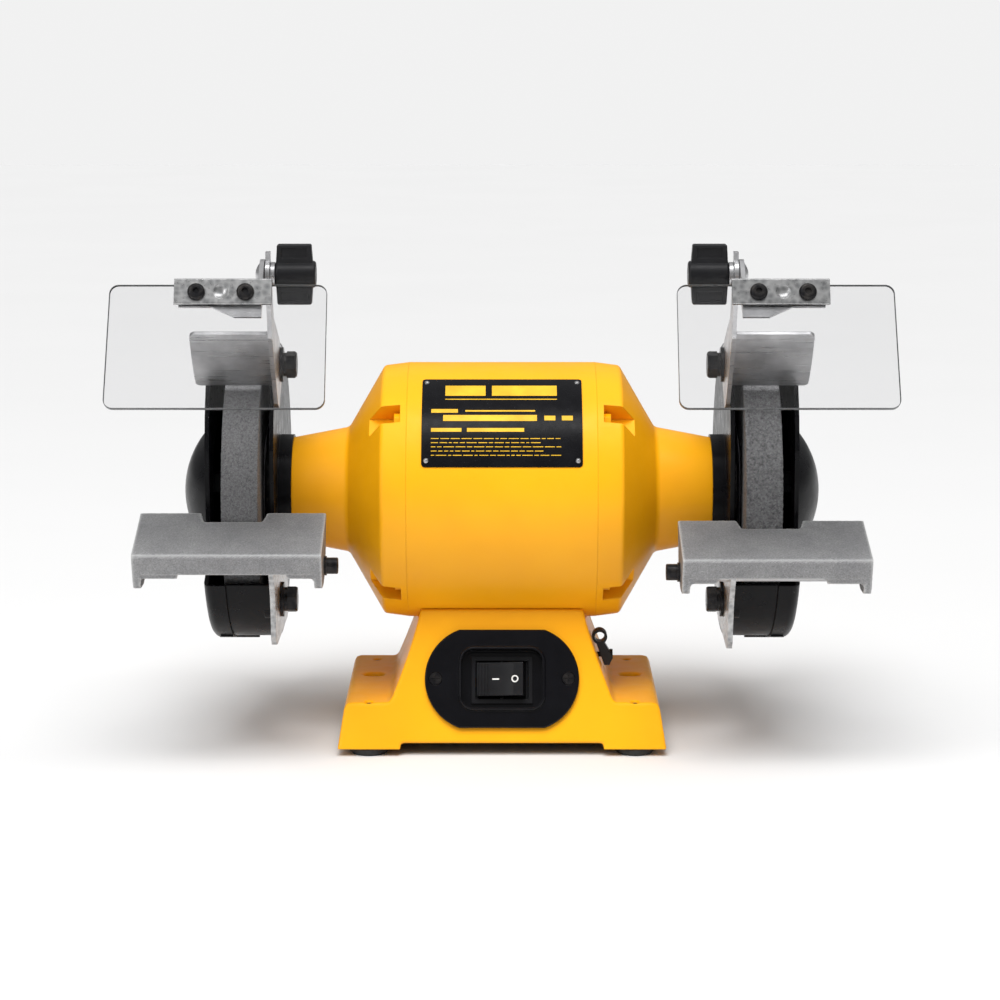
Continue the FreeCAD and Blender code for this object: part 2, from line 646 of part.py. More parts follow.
def shield_bracket():
    """A backing strip behind the shield, bent round to a tab on the knob bolt."""
    tab_x = GUARD_PLATE_X + 0.2
    back = -PANE_THICK - 0.05
    strip = leaning_block(tab_x, BAR_X[1] - 2, -1.0, 11.4, back - 2.0, back)
    gusset_corners = [(tab_x, 10.0), (tab_x, 17.0), (tab_x + 14, 17.0),
                      (tab_x + 27, 11.0), (tab_x + 27, 10.0)]
    points = []
    for x, down in gusset_corners:
        y, z = pane_point(down, back)
        points.append(vec(x, y, z))
    _, (ny, nz), _ = pane_frame()
    gusset = Part.Face(Part.makePolygon(points + points[:1])).extrude(vec(0, -2.0 * ny, -2.0 * nz))
    y, z = KNOB_AXIS
    outline = [pane_point(-1.0, back), pane_point(17.0, back),
               (y - 4, z - 8.0), (y + 3, z - 7.5), (y + 3, z + 7.5), (y - 4, z + 7.8)]
    tab = joined([sheet_x(outline, tab_x, 2.4), rod_x(tab_x, tab_x + 2.4, 8.0, y, z)])
    holes = [leaning_rod(x, CLAMP_SCREW_DOWN, -8, -2, 1.95) for x in CLAMP_SCREW_X]
    holes.append(rod_x(tab_x - 1, tab_x + 4, 3.05, y, z))
    return without(joined([strip, gusset, tab]), holes)


def clamp_screws():
    screws = []
    for x in CLAMP_SCREW_X:
        stem = leaning_rod(x, CLAMP_SCREW_DOWN, -PANE_THICK - 2.0, 2.45, 1.9)
        head = leaning_rod(x, CLAMP_SCREW_DOWN, 2.42, 5.0, 4.6)
        head = rounded(head, 1.8, far_rim)
        socket = leaning_rod(x, CLAMP_SCREW_DOWN, 3.6, 6.0, 1.7)
        screws.append(stem.fuse(head).cut(socket))
    return Part.makeCompound(screws)


def far_rim(edge):
    """True on the outer rim of a clamp screw's head."""
    middle = edge.BoundBox.Center
    _, (ny, nz), _ = pane_frame()
    height = (middle.y - PANE_TOP[0]) * ny + (middle.z - PANE_TOP[1]) * nz
    return height > 4.8 and edge.BoundBox.XLength > 8


# --- tool rests ---
def leaned(shape, side, rest_too=False):
    """Turns a tool rest part about its pivot, then with its bracket about the bracket's bolt."""
    if rest_too:
        shape.rotate(vec(0, REST_PIVOT[0], REST_PIVOT[1]), X_AXIS, REST_LEAN[side])
    shape.rotate(vec(0, BRACKET_BOLT[0], BRACKET_BOLT[1]), X_AXIS, BRACKET_LEAN[side])
    return shape


def rest_bracket():
    y, z = REST_PIVOT
    outline = [
        (-100.6, -28.0), (-92.0, -43.0), (-89.0, -56.0), (-88.0, -66.0), (-84.0, -71.0), (-78.0, -72.0),
        (-8.0, -72.0), (2.0, -68.0), (4.0, -60.0), (-6.0, -48.0),
        (-58.0, -37.0), (-76.0, -32.0), (-84.0, -22.0),
    ]
    plate = sheet_x(outline, BRACKET_X, BRACKET_THICK)
    plate = joined([plate, rod_x(BRACKET_X, BRACKET_X + BRACKET_THICK, 9.0, y, z)])
    bolt_y, bolt_z = BRACKET_BOLT
    slot = slot_x(bolt_y, bolt_z, 1, 0, BRACKET_TRAVEL, 4.3, BRACKET_X - 1, BRACKET_X + 5)
    return without(plate, [slot, rod_x(BRACKET_X - 1, BRACKET_X + 5, 5.0, y, z)])


def rest_rod():
    y, z = REST_PIVOT
    bar = rod_x(REST_IN_X + 4.8, REST_OUT_X - 4.8, 5.0, y, z)
    pin = rod_x(REST_OUT_X - 5, REST_OUT_X - 1.5, 2.5, y, z)
    return joined([bar, pin]).cut(rod_x(REST_IN_X, REST_IN_X + 16, 2.55, y, z))


def rest_screw():
    y, z = REST_PIVOT
    stem = rod_x(REST_IN_X - 1.0, REST_IN_X + 14, 2.5, y, z)
    washer = ring_x(REST_IN_X - 1.3, REST_IN_X - 0.1, 5.2, 2.4, y, z)
    head = rod_x(REST_IN_X - 7.4, REST_IN_X - 1.3, 4.4, y, z)
    head = rounded(head, 0.6, lambda e: e.BoundBox.XMax < REST_IN_X - 7)
    socket = hexagon_x(REST_IN_X - 8, REST_IN_X - 4.2, 4.0, y, z)
    return joined([stem, washer, head.cut(socket)])


def rest_block(x0, x1, forward0, forward1, up0, up1):
    """A block of the tool rest, placed by distances forward of and above its pivot."""
    y, z = REST_PIVOT
    return block(x0, x1, y - forward1, y - forward0, z + up0, z + up1)


def tool_rest():
    y, z = REST_PIVOT
    top = rest_block(REST_IN_X, REST_OUT_X, REST_BACK, REST_FRONT, REST_TOP - 5.0, REST_TOP)
    skirt = rest_block(REST_IN_X, REST_OUT_X, REST_FRONT - 4.0, REST_FRONT, REST_TOP - 12.0, REST_TOP)
    end_outline = [
        (y + 26.0, z + 13.0), (y + 14.0, z - 4.0), (y + 6.0, z - 7.6), (y - 6.0, z - 7.8),
        (y - 13.0, z - 5.6), (y - 17.4, z - 4.0), (y - REST_FRONT, z - 1.5), (y - REST_FRONT, z + 13.0),
    ]
    inner_end = sheet_x(end_outline, REST_IN_X, 4.5)
    outer_end = sheet_x(end_outline, REST_OUT_X - 4.5, 4.5)
    ledge = rest_block(REST_OUT_X - 24.0, REST_OUT_X - 4.0, REST_FRONT - 3.0, REST_FRONT - 0.8,
                       REST_TOP - 15.0, REST_TOP - 11.0)
    ledge_in = rest_block(REST_IN_X + 4.0, REST_IN_X + 19.0, REST_FRONT - 3.0, REST_FRONT - 0.8,
                          REST_TOP - 15.0, REST_TOP - 11.0)
    body = joined([top, skirt, inner_end, outer_end, ledge, ledge_in])
    body = rounded(body, 1.4, lambda e: e.BoundBox.XLength > 90 and e.BoundBox.YMin < y - REST_FRONT + 0.1
                   and e.BoundBox.ZMin > z + REST_TOP - 0.1)
    notch_half = (REST_NOTCH_X[1] - REST_NOTCH_X[0]) / 2
    notch_mid = (REST_NOTCH_X[1] + REST_NOTCH_X[0]) / 2
    back_y = y - REST_BACK
    mouth = notch_half + 2.5
    corners = [
        vec(notch_mid - mouth, back_y + 1, z), vec(notch_mid + mouth, back_y + 1, z),
        vec(notch_mid + notch_half, back_y - REST_NOTCH, z),
        vec(notch_mid - notch_half, back_y - REST_NOTCH, z),
    ]
    notch = Part.Face(Part.makePolygon(corners + corners[:1])).extrude(vec(0, 0, 40))
    pivot = rod_x(REST_IN_X - 1, REST_IN_X + 6, 2.55, y, z)
    socket = rod_x(REST_OUT_X - 6, REST_OUT_X - 1.3, 2.55, y, z)
    return without(body, [notch, pivot, socket])


# --- base ---
def face_point(down, out=0.0):
    """The (y, z) of a point so far down the raked front face and so far out from it."""
    angle = math.radians(FACE_RAKE)
    return (FACE_TOP[0] - down * math.sin(angle) - out * math.cos(angle),
            FACE_TOP[1] - down * math.cos(angle) + out * math.sin(angle))


def pedestal_side_x(z):
    """The half width of the pedestal at a height."""
    part = (z - FOOT_TOP - PEDESTAL_START) / PEDESTAL_RISE
    return PEDESTAL_LOW + (PEDESTAL_TOP - PEDESTAL_LOW) * (1 - (1 - part) ** PEDESTAL_FLARE)


def base_outline(inset):
    """Half the front outline of the base, from the bottom edge up to under the motor."""
    low = FOOT_HALF_LOW - inset
    top = FOOT_HALF_TOP - inset
    foot = FOOT_TOP - inset
    waist = [(PEDESTAL_LOW + 1.6 - inset, foot)]
    for step in range(7):
        z = FOOT_TOP + PEDESTAL_START + PEDESTAL_RISE * step / 6
        waist.append((pedestal_side_x(z) - inset, z))
    foot_corner = [(low, CAST_BOTTOM), (top + 0.7, foot - 3.5), (top - 0.6, foot - 0.9), (top - 3.2, foot)]
    return foot_corner + waist


def base_solid(inset):
    right = base_outline(inset)
    left = [(-x, z) for x, z in reversed(right)]
    solid = slab_y(right + left, CAST_FRONT_Y - 20, CAST_BACK_Y + 20)
    front = sheet_x([face_point(-60, -inset), face_point(140, -inset), (-200, -200), (-200, 100)], -120, 240)
    lean = math.radians(FACE_RAKE)
    back_low = CAST_BACK_Y - inset
    back_top = BACK_TOP_Y - inset
    rise = (CAST_BACK_Y - BACK_TOP_Y) / math.tan(lean)
    back = sheet_x([(back_low, -200), (back_low, CAST_BOTTOM + 6), (back_low, FOOT_TOP - 6),
                    (back_top, FOOT_TOP - 6 + rise), (back_top, 100), (200, 100), (200, -200)], -120, 240)
    return without(solid, [front, back])


def base_casting():
    outside = base_solid(0.0)
    outside = rounded(outside, 2.0, lambda e: e.BoundBox.YLength > 60 and e.BoundBox.ZMin > FOOT_TOP - 4
                      and e.BoundBox.ZMax < FOOT_TOP + 1)
    inside = base_solid(CAST_WALL)
    inside = inside.cut(block(-150, 150, -150, 150, WEB_UNDER, 0))
    floor_cut = block(-200, 200, -200, 200, CAST_BOTTOM - 5, CAST_BOTTOM)
    arch = block(-56.0, 56.0, -120, 120, CAST_BOTTOM - 1, CAST_BOTTOM + 3.2)
    saddle = rod_x(-120, 120, FRAME_R + SADDLE_GAP)
    shape = outside.cut(inside)
    posts = []
    cuts = [floor_cut, arch, saddle]
    for x in (-RUBBER_X, RUBBER_X):
        for y in RUBBER_Y:
            posts.append(Part.makeCylinder(6.5, FOOT_TOP - CAST_BOTTOM - 1, vec(x, y, CAST_BOTTOM), Z_AXIS))
            cuts.append(Part.makeCylinder(2.1, 60, vec(x, y, CAST_BOTTOM - 5), Z_AXIS))
    cuts += [mount_slot(x) for x in (-SLOT_X, SLOT_X)]
    for x, y in COVER_SCREWS:
        low = CAST_BOTTOM + 6.4
        posts.append(Part.makeCylinder(4.5, WEB_UNDER + 1 - low, vec(x, y, low), Z_AXIS))
        cuts.append(Part.makeCylinder(1.6, 14, vec(x, y, CAST_BOTTOM + 5), Z_AXIS))
    within = base_solid(CAST_WALL - 1.5)
    shape = joined([shape] + [post.common(within) for post in posts])
    cuts.append(switch_opening())
    cuts.append(Part.makeCylinder(6.0, 30, vec(GLAND_X, CAST_BACK_Y - 12, GLAND_Z), Y_AXIS))
    cuts.append(Part.makeCylinder(5.0, 30, vec(0, 0, -90), Z_AXIS))
    for x, y in SADDLE_SCREWS:
        cuts.append(Part.makeCylinder(2.55, 30, vec(x, y, -90), Z_AXIS))
    for x in PLATE_SCREWS:
        cuts.append(face_rod(x, PLATE_FROM_TOP, -6.0, 1.0, 1.7))
    cuts.append(clip_hole(1.6))
    return without(shape, cuts)


def mount_slot(x):
    half = SLOT_LENGTH / 2 - SLOT_R
    low = CAST_BOTTOM - 10
    middle = block(x - half, x + half, SLOT_Y - SLOT_R, SLOT_Y + SLOT_R, low, -95)
    near = Part.makeCylinder(SLOT_R, -95 - low, vec(x - half, SLOT_Y, low), Z_AXIS)
    far = Part.makeCylinder(SLOT_R, -95 - low, vec(x + half, SLOT_Y, low), Z_AXIS)
    return joined([middle, near, far])


def face_rod(x, down, out0, out1, radius):
    y0, z0 = face_point(down, out0)
    y1, z1 = face_point(down, out1)
    return Part.makeCylinder(radius, abs(out1 - out0), vec(x, y0, z0), vec(0, y1 - y0, z1 - z0))


def face_block(x0, x1, down0, down1, out0, out1):
    corners = [face_point(down0, out0), face_point(down1, out0),
               face_point(down1, out1), face_point(down0, out1)]
    return sheet_x(corners, x0, x1 - x0)


def face_round_block(half_x, down0, down1, out0, out1, radius):
    shape = face_block(-half_x, half_x, down0, down1, out0, out1)
    depth = abs(out1 - out0)
    return rounded(shape, radius, lambda e: abs(e.Length - depth) < 0.01)


def switch_opening():
    return face_round_block(26.0, PLATE_FROM_TOP - 19.5, PLATE_FROM_TOP + 19.5, -9.0, 3.0, 8.0)


def switch_plate():
    """A black plate with bowed ends and a rounded well for the switch."""
    offset = PLATE_HALF_W - PLATE_END_R
    corner = math.atan2(PLATE_HALF_H, PLATE_FLAT_HALF - offset)
    ends = []
    for side in (1, -1):
        low = vec(side * PLATE_FLAT_HALF, -side * PLATE_HALF_H, 0)
        bow = vec(side * (offset + PLATE_END_R), 0, 0)
        high = vec(side * (offset + PLATE_END_R * math.cos(corner)), side * PLATE_END_R * math.sin(corner), 0)
        ends.append((low, bow, high))
    edges = [Part.Arc(low, bow, high).toShape() for low, bow, high in ends]
    edges.append(Part.makeLine(ends[0][2], ends[1][0]))
    edges.append(Part.makeLine(ends[1][2], ends[0][0]))
    face = Part.Face(Part.Wire(Part.__sortEdges__(edges)))
    plate = face.extrude(vec(0, 0, PLATE_THICK))
    plate = rounded(plate, 0.9, lambda e: e.BoundBox.ZMin > PLATE_THICK - 0.01)
    y, z = face_point(PLATE_FROM_TOP, 0.05)
    plate.rotate(ORIGIN, X_AXIS, 90 - FACE_RAKE)
    plate.translate(vec(0, y, z))
    down = PLATE_FROM_TOP
    lip = face_round_block(24.0, down - 18.0, down + 18.0, 2.0, 4.8, 8.6)
    lip = rounded(lip, 1.3, lambda e: on_front(e, 4.75))
    well_wall = face_round_block(24.6, down - 18.6, down + 18.6, -7.5, 1.0, 7.5)
    well = face_round_block(22.4, down - 16.4, down + 16.4, -5.5, 6.0, 7.0)
    hole = face_block(-14.7, 14.7, down - 11.7, down + 11.7, -9.0, 2.0)
    plate = joined([plate, lip, well_wall])
    screw_holes = [face_rod(x, down, -1.0, 5.0, 2.0) for x in PLATE_SCREWS]
    sinks = [face_rod(x, down, 1.4, 5.0, 3.7) for x in PLATE_SCREWS]
    return without(plate, [well, hole] + screw_holes + sinks)


def on_front(edge, out):
    """True for an edge that lies at least so far out from the raked face."""
    lean = math.radians(FACE_RAKE)
    middle = edge.BoundBox.Center
    dy, dz = middle.y - FACE_TOP[0], middle.z - FACE_TOP[1]
    return -dy * math.cos(lean) + dz * math.sin(lean) > out


def switch_screws():
    screws = []
    for x in PLATE_SCREWS:
        stem = face_rod(x, PLATE_FROM_TOP, -5.0, 1.6, 1.6)
        head = face_rod(x, PLATE_FROM_TOP, 1.5, 3.1, 3.4)
        cross = face_block(x - 2.3, x + 2.3, PLATE_FROM_TOP - 0.45, PLATE_FROM_TOP + 0.45, 2.4, 4.0)
        other = face_block(x - 0.45, x + 0.45, PLATE_FROM_TOP - 2.3, PLATE_FROM_TOP + 2.3, 2.4, 4.0)
        screws.append(without(stem.fuse(head), [cross, other]))
    return Part.makeCompound(screws)


def switch_body():
    """The switch case behind the plate, with its two pivot posts and its terminals."""
    down = PLATE_FROM_TOP
    case = face_block(-14.5, 14.5, down - 11.5, down + 11.5, -24.0, -5.6)
    cavity = face_block(-13.2, 13.2, down - 10.6, down + 10.6, -15.0, -4.0)
    rim_out = face_block(-16.9, 16.9, down - 13.2, down + 13.2, -5.45, -4.0)
    rim_in = face_block(-14.6, 14.6, down - 11.5, down + 11.5, -7.0, -3.0)
    neck = face_block(-14.5, 14.5, down - 11.5, down + 11.5, -6.0, -5.0)
    terminals = [face_block(x - 0.4, x + 0.4, down - 3, down + 3, -31.0, -23.5) for x in (-9.0, 0.0, 9.0)]
    body = joined([case, neck, rim_out] + terminals)
    body = without(body, [rim_in, cavity])
    wall = [face_block(-14.5, 14.5, down - 11.5, down - 10.6, -6.0, -4.0),
            face_block(-14.5, 14.5, down + 10.6, down + 11.5, -6.0, -4.0)]
    body = joined([body] + wall)
    pivot = rocker_axis_rod(1.5, down - 10.7, down - 9.6)
    other = rocker_axis_rod(1.5, down + 9.6, down + 10.7)
    return joined([body, pivot, other])


def rocker_axis_rod(radius, down0, down1):
    y0, z0 = face_point(down0, ROCKER_AXIS_OUT)
    y1, z1 = face_point(down1, ROCKER_AXIS_OUT)
    return Part.makeCylinder(radius, abs(down1 - down0), vec(0, y0, z0), vec(0, y1 - y0, z1 - z0))


def rocker():
    """The rocker, tipped to its off side about an axis down the face."""
    down = PLATE_FROM_TOP
    shallow = face_block(-12.9, 12.9, down - 9.2, down + 9.2, -8.5, 1.0)
    hub = rocker_axis_rod(3.4, down - 9.2, down + 9.2)
    dish = Part.makeCylinder(46.0, 40, vec(0, 0, 0), Z_AXIS)
    dish.translate(vec(0, -46.0 - 0.4, -20))
    dish.rotate(ORIGIN, X_AXIS, -FACE_RAKE)
    y, z = face_point(down, 0.0)
    dish.translate(vec(0, y, z))
    starts = [-12.6 + 1.7 * step for step in range(4)]
    ribs = [face_block(x, x + 0.8, down - 8.6, down + 8.6, 0.0, 1.5) for x in starts]
    body = joined([shallow.cut(dish), hub])
    body = joined([body] + [rib.cut(dish_shell(dish)) for rib in ribs])
    body = body.cut(rocker_axis_rod(1.55, down - 9.9, down + 9.9))
    pivot_y, pivot_z = face_point(down, ROCKER_AXIS_OUT)
    low = face_point(down + 1, ROCKER_AXIS_OUT)
    axis = vec(0, low[0] - pivot_y, low[1] - pivot_z)
    body.rotate(vec(0, pivot_y, pivot_z), axis, ROCKER_ANGLE)
    return body


def dish_shell(dish):
    """The rocker's dished face lifted a little, so that ribs stand 0.5 mm proud of it."""
    lifted = dish.copy()
    angle = math.radians(FACE_RAKE)
    lifted.translate(vec(0, -0.5 * math.cos(angle), 0.5 * math.sin(angle)))
    return lifted


def base_cover():
    cover = block(-55.0, 55.0, -58.0, 56.0, CAST_BOTTOM + 4.2, CAST_BOTTOM + 6.2)
    inside = base_solid(CAST_WALL + 0.4)
    cover = cover.common(inside)
    holes = [Part.makeCylinder(2.0, 10, vec(x, y, CAST_BOTTOM), Z_AXIS) for x, y in COVER_SCREWS]
    for row in range(4):
        holes.append(block(-24, 24, -24 + 12 * row, -20 + 12 * row, CAST_BOTTOM, CAST_BOTTOM + 10))
    return without(cover, holes)


def base_cover_screws():
    screws = []
    for x, y in COVER_SCREWS:
        stem = Part.makeCylinder(1.5, 11, vec(x, y, CAST_BOTTOM + 4.0), Z_AXIS)
        head = Part.makeCylinder(3.4, 1.6, vec(x, y, CAST_BOTTOM + 2.5), Z_AXIS)
        screws.append(stem.fuse(head))
    return screws


def saddle_screws():
    """The screws that hold the motor down on the web of the base."""
    screws = []
    for x, y in SADDLE_SCREWS:
        stem = Part.makeCylinder(2.5, 10.5, vec(x, y, WEB_UNDER - 1.0), Z_AXIS)
        head = Part.makeCylinder(4.6, 3.6, vec(x, y, WEB_UNDER - 3.7), Z_AXIS)
        screws.append(stem.fuse(head))
    return screws


def rubber_foot(x, y):
    bench = -SHAFT_HEIGHT
    foot = Part.makeCone(RUBBER_R - 1.4, RUBBER_R, 1.6, vec(x, y, bench), Z_AXIS)
    foot = foot.fuse(Part.makeCylinder(RUBBER_R, CAST_BOTTOM - bench - 1.65, vec(x, y, bench + 1.6), Z_AXIS))
    foot = foot.cut(Part.makeCylinder(4.6, 2.2, vec(x, y, bench - 0.1), Z_AXIS))
    return foot.cut(Part.makeCylinder(2.1, 10, vec(x, y, bench - 1), Z_AXIS))


def foot_screw(x, y):
    bench = -SHAFT_HEIGHT
    head = Part.makeCylinder(4.4, 1.3, vec(x, y, bench + 0.7), Z_AXIS)
    stem = Part.makeCylinder(2.0, FOOT_TOP - bench - 2.6, vec(x, y, bench + 1.5), Z_AXIS)
    return head.fuse(stem)


def start_capacitor():
    y, z = CAPACITOR_AT
    can = rod_x(-32, 32, CAPACITOR_R, y, z)
    can = rounded(can, 1.5, lambda e: e.BoundBox.XLength < 0.1)
    tabs = [block(32, 38, y + middle - 3, y + middle + 3, z - 0.4, z + 0.4) for middle in (-6, 6)]
    return joined([can] + tabs)


def capacitor_clip():
    y, z = CAPACITOR_AT
    strap = ring_x(-6, 6, CAPACITOR_R + 1.6, CAPACITOR_R + 0.1, y, z)
    return strap.cut(block(-10, 10, y - 6, y + 6, z - 32, z))


def cord_gland():
    flange = Part.makeCylinder(8.0, 2.5, vec(GLAND_X, CAST_BACK_Y + 0.05, GLAND_Z), Y_AXIS)
    barrel = Part.makeCylinder(5.9, 9.0, vec(GLAND_X, CAST_BACK_Y - 8.5, GLAND_Z), Y_AXIS)
    bore = Part.makeCylinder(3.6, 30, vec(GLAND_X, CAST_BACK_Y - 12, GLAND_Z), Y_AXIS)
    return joined([flange, barrel]).cut(bore)


# --- cord clip on the side of the pedestal ---
def cord_clip():
    top_x = pedestal_side_x(CLIP_EYE_Z) + 1.6
    low_x = pedestal_side_x(CLIP_SCREW_Z - 5) + 1.6
    eye_x = top_x + CLIP_EYE_R - 1.2
    eye = Part.makeCylinder(CLIP_EYE_R, 7.0, vec(eye_x, CLIP_Y - 3.5, CLIP_EYE_Z), Y_AXIS)
    hole = Part.makeCylinder(CLIP_HOLE_R, 9.0, vec(eye_x, CLIP_Y - 4.5, CLIP_EYE_Z), Y_AXIS)
    tip_z = CLIP_SCREW_Z - 5.5
    outline = [(top_x + 0.9, CLIP_EYE_Z - 3.0), (top_x + 5.4, CLIP_EYE_Z - 3.0),
               (low_x + 4.8, CLIP_SCREW_Z - 1), (low_x + 3.0, tip_z), (low_x, tip_z)]
    tab = slab_y(outline, CLIP_Y - 3.5, CLIP_Y + 3.5)
    seat = rod_x(pedestal_side_x(CLIP_SCREW_Z) + 6.5, 90, 3.2, CLIP_Y, CLIP_SCREW_Z)
    return without(joined([eye, tab]), [hole, clip_hole(1.65), seat])


def clip_hole(radius):
    x = pedestal_side_x(CLIP_SCREW_Z)
    return rod_x(x - 7, x + 9, radius, CLIP_Y, CLIP_SCREW_Z)


def cord_clip_screw():
    x = pedestal_side_x(CLIP_SCREW_Z)
    stem = rod_x(x - 6, x + 7.4, 1.5, CLIP_Y, CLIP_SCREW_Z)
    head = rod_x(x + 6.6, x + 8.2, 3.0, CLIP_Y, CLIP_SCREW_Z)
    return stem.fuse(head)


# --- build everything ---
def build_motor():
    save("motor_frame", motor_frame())
    save_pair("end_bell", end_bell())
    save("stator_core", stator_core())
    save("stator_windings", stator_windings())
    save("rotor_core", rotor_core())
    save("shaft", shaft())
    outer, inner, balls = bearing_parts()
    save("bearing_outer_rings", both_sides([outer]))
    save("bearing_inner_rings", both_sides([inner]))
    save("bearing_balls", both_sides(balls))
    save("through_bolts", through_bolts())
    save("nameplate", nameplate())
    save("nameplate_rivets", nameplate_rivets())


def build_wheels():
    save_pair("wheel", grinding_wheel())
    save("wheel_flanges", both_sides(wheel_flanges()))
    save("wheel_blotters", blotters())
    save("arbor_nuts", both_sides([arbor_nut()]))


def build_guards():
    save_pair("inner_guard", inner_guard())
    save_pair("guard_cover", guard_cover())
    save("guard_cover_screws", guard_cover_screws())
    save("guard_mount_screws", guard_mount_screws())
    deflector_bolt = hex_bolt(DEFLECTOR_BOLT[0], DEFLECTOR_BOLT[1], GUARD_PLATE_X - 2.7, 12)
    save("deflector_bolts", both_sides([deflector_bolt]))
    bracket_bolt_shape = hex_bolt(BRACKET_BOLT[0], BRACKET_BOLT[1], BRACKET_X - 0.1, 40)
    save("rest_bracket_bolts", both_sides([bracket_bolt_shape]))


def build_shields():
    save_pair("spark_deflector", spark_deflector())
    save_pair("knob_bolt", knob_bolt())
    save_pair("wing_knob", wing_knob())
    save_pair("shield_bracket", shield_bracket())
    save_pair("shield_pane", shield_pane())
    save_pair("clamp_bar", clamp_bar())
    save_pair("clamp_screws", clamp_screws())


def build_rests():
    for side in ("right", "left"):
        pieces = {
            "rest_bracket": leaned(rest_bracket(), side),
            "rest_rod": leaned(rest_rod(), side),
            "rest_screw": leaned(rest_screw(), side),
            "tool_rest": leaned(tool_rest(), side, rest_too=True),
        }
        for name, shape in pieces.items():
            save(side + "_" + name, shape if side == "right" else mirrored(shape))


def build_base():
    save("base_casting", base_casting())
    save("base_cover", base_cover())
    spots = [(x, y) for x in (-RUBBER_X, RUBBER_X) for y in RUBBER_Y]
    save("rubber_feet", Part.makeCompound([rubber_foot(x, y) for x, y in spots]))
    screws = [foot_screw(x, y) for x, y in spots] + base_cover_screws() + saddle_screws()
    screws.append(cord_clip_screw())
    save("base_screws", Part.makeCompound(screws))
    save("start_capacitor", start_capacitor())
    save("capacitor_clip", capacitor_clip())
    save("cord_gland", cord_gland())
    save("cord_clip", cord_clip())
    save("switch_plate", switch_plate())
    save("switch_screws", switch_screws())
    save("switch_body", switch_body())
    save("switch_rocker", rocker())


os.makedirs("parts", exist_ok=True)
build_motor()
build_wheels()
build_guards()
build_shields()
build_rests()
build_base()
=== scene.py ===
import json
import math
import random

import bmesh
import bpy
from mathutils import Matrix, Vector
from mathutils.bvhtree import BVHTree


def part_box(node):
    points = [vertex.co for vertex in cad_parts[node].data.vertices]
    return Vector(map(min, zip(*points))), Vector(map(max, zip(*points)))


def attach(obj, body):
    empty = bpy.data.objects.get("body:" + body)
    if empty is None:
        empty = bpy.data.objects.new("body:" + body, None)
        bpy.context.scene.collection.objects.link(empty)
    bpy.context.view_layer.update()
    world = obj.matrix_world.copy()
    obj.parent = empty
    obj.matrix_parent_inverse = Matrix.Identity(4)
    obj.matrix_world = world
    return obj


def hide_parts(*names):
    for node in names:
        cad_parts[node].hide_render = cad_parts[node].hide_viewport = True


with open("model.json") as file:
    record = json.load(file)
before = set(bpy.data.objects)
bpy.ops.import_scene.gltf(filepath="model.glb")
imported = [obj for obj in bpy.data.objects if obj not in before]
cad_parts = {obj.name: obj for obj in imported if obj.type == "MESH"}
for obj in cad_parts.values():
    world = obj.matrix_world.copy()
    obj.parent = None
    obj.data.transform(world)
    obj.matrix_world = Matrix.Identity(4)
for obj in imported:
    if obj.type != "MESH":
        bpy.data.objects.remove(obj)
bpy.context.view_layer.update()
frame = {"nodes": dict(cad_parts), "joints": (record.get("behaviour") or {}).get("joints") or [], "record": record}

NODES = frame["nodes"]
MM = 0.001
SIDES = ("left", "right")
MERGE = 1e-7          # m, vertices nearer than this are one
WHITE = (1.0, 1.0, 1.0)


# --- where things are, worked out from the CAD nodes ---
def middle(node):
    low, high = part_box(node)
    return (low + high) / 2


def joint(name):
    return next(j for j in frame["joints"] if j["name"] == name)


SHAFT = middle("shaft")
FRAME_LOW, FRAME_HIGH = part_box("motor_frame")
FRAME_R = (FRAME_HIGH.y - FRAME_LOW.y) / 2


# --- materials ---
# Sizes whose names end in _mm are in mm; a ramp's stops are (position, colour) pairs.
BEVEL_SAMPLES = 6
WEAR_AND_HIGHLIGHT_FROM = 0.505     # pointiness where an edge begins to brighten, as rubbed wear and painted highlight
WEAR_AND_HIGHLIGHT_TO = 0.55        # pointiness where it is fully brightened, rubbed wear and painted highlight


def add(made, kind, **values):
    """A new node; a value's name is an input socket, or an attribute when it has no such socket."""
    node = made.node_tree.nodes.new(kind)
    for name, value in values.items():
        socket = node.inputs.get(name.replace("_", " "))
        if socket is not None:
            socket.default_value = value
        else:
            setattr(node, name, value)
    return node


def link(made, out_socket, in_socket):
    made.node_tree.links.new(out_socket, in_socket)


def shader_of(made):
    return made.node_tree.nodes["Principled BSDF"]


def set_values(made, **values):
    """Plain values on the shader's own sockets."""
    for name, value in values.items():
        shader_of(made).inputs[name.replace("_", " ")].default_value = value
    return made


def use(made, **sockets):
    """Node outputs linked to the shader's sockets."""
    for name, out_socket in sockets.items():
        link(made, out_socket, shader_of(made).inputs[name.replace("_", " ")])
    return made


def new_material(name, color, roughness, metallic=0.0):
    """A Principled material with its plain values set on the shader's own sockets."""
    made = bpy.data.materials.new(name)
    made.use_nodes = True
    return set_values(made, Base_Color=(*color, 1.0), Roughness=roughness, Metallic=metallic)


def place(made, stretch=(1, 1, 1)):
    """Object coordinates, in metres in the row frame, stretched along the axes."""
    coordinates = add(made, "ShaderNodeTexCoord")
    mapping = add(made, "ShaderNodeMapping")
    mapping.inputs["Scale"].default_value = stretch
    link(made, coordinates.outputs["Object"], mapping.inputs["Vector"])
    return mapping.outputs["Vector"]


def noise(made, size_mm, detail=3.0, stretch=(1, 1, 1), roughness=0.55):
    """A noise whose blotches are about size_mm across."""
    node = add(made, "ShaderNodeTexNoise", Scale=1.0 / (size_mm * MM), Detail=detail,
               Roughness=roughness)
    link(made, place(made, stretch), node.inputs["Vector"])
    return node.outputs["Fac"]


def grains(made, size_mm):
    """Cells about size_mm across, each with its own colour and a distance from its middle."""
    node = add(made, "ShaderNodeTexVoronoi", Scale=1.0 / (size_mm * MM))
    link(made, place(made), node.inputs["Vector"])
    return node


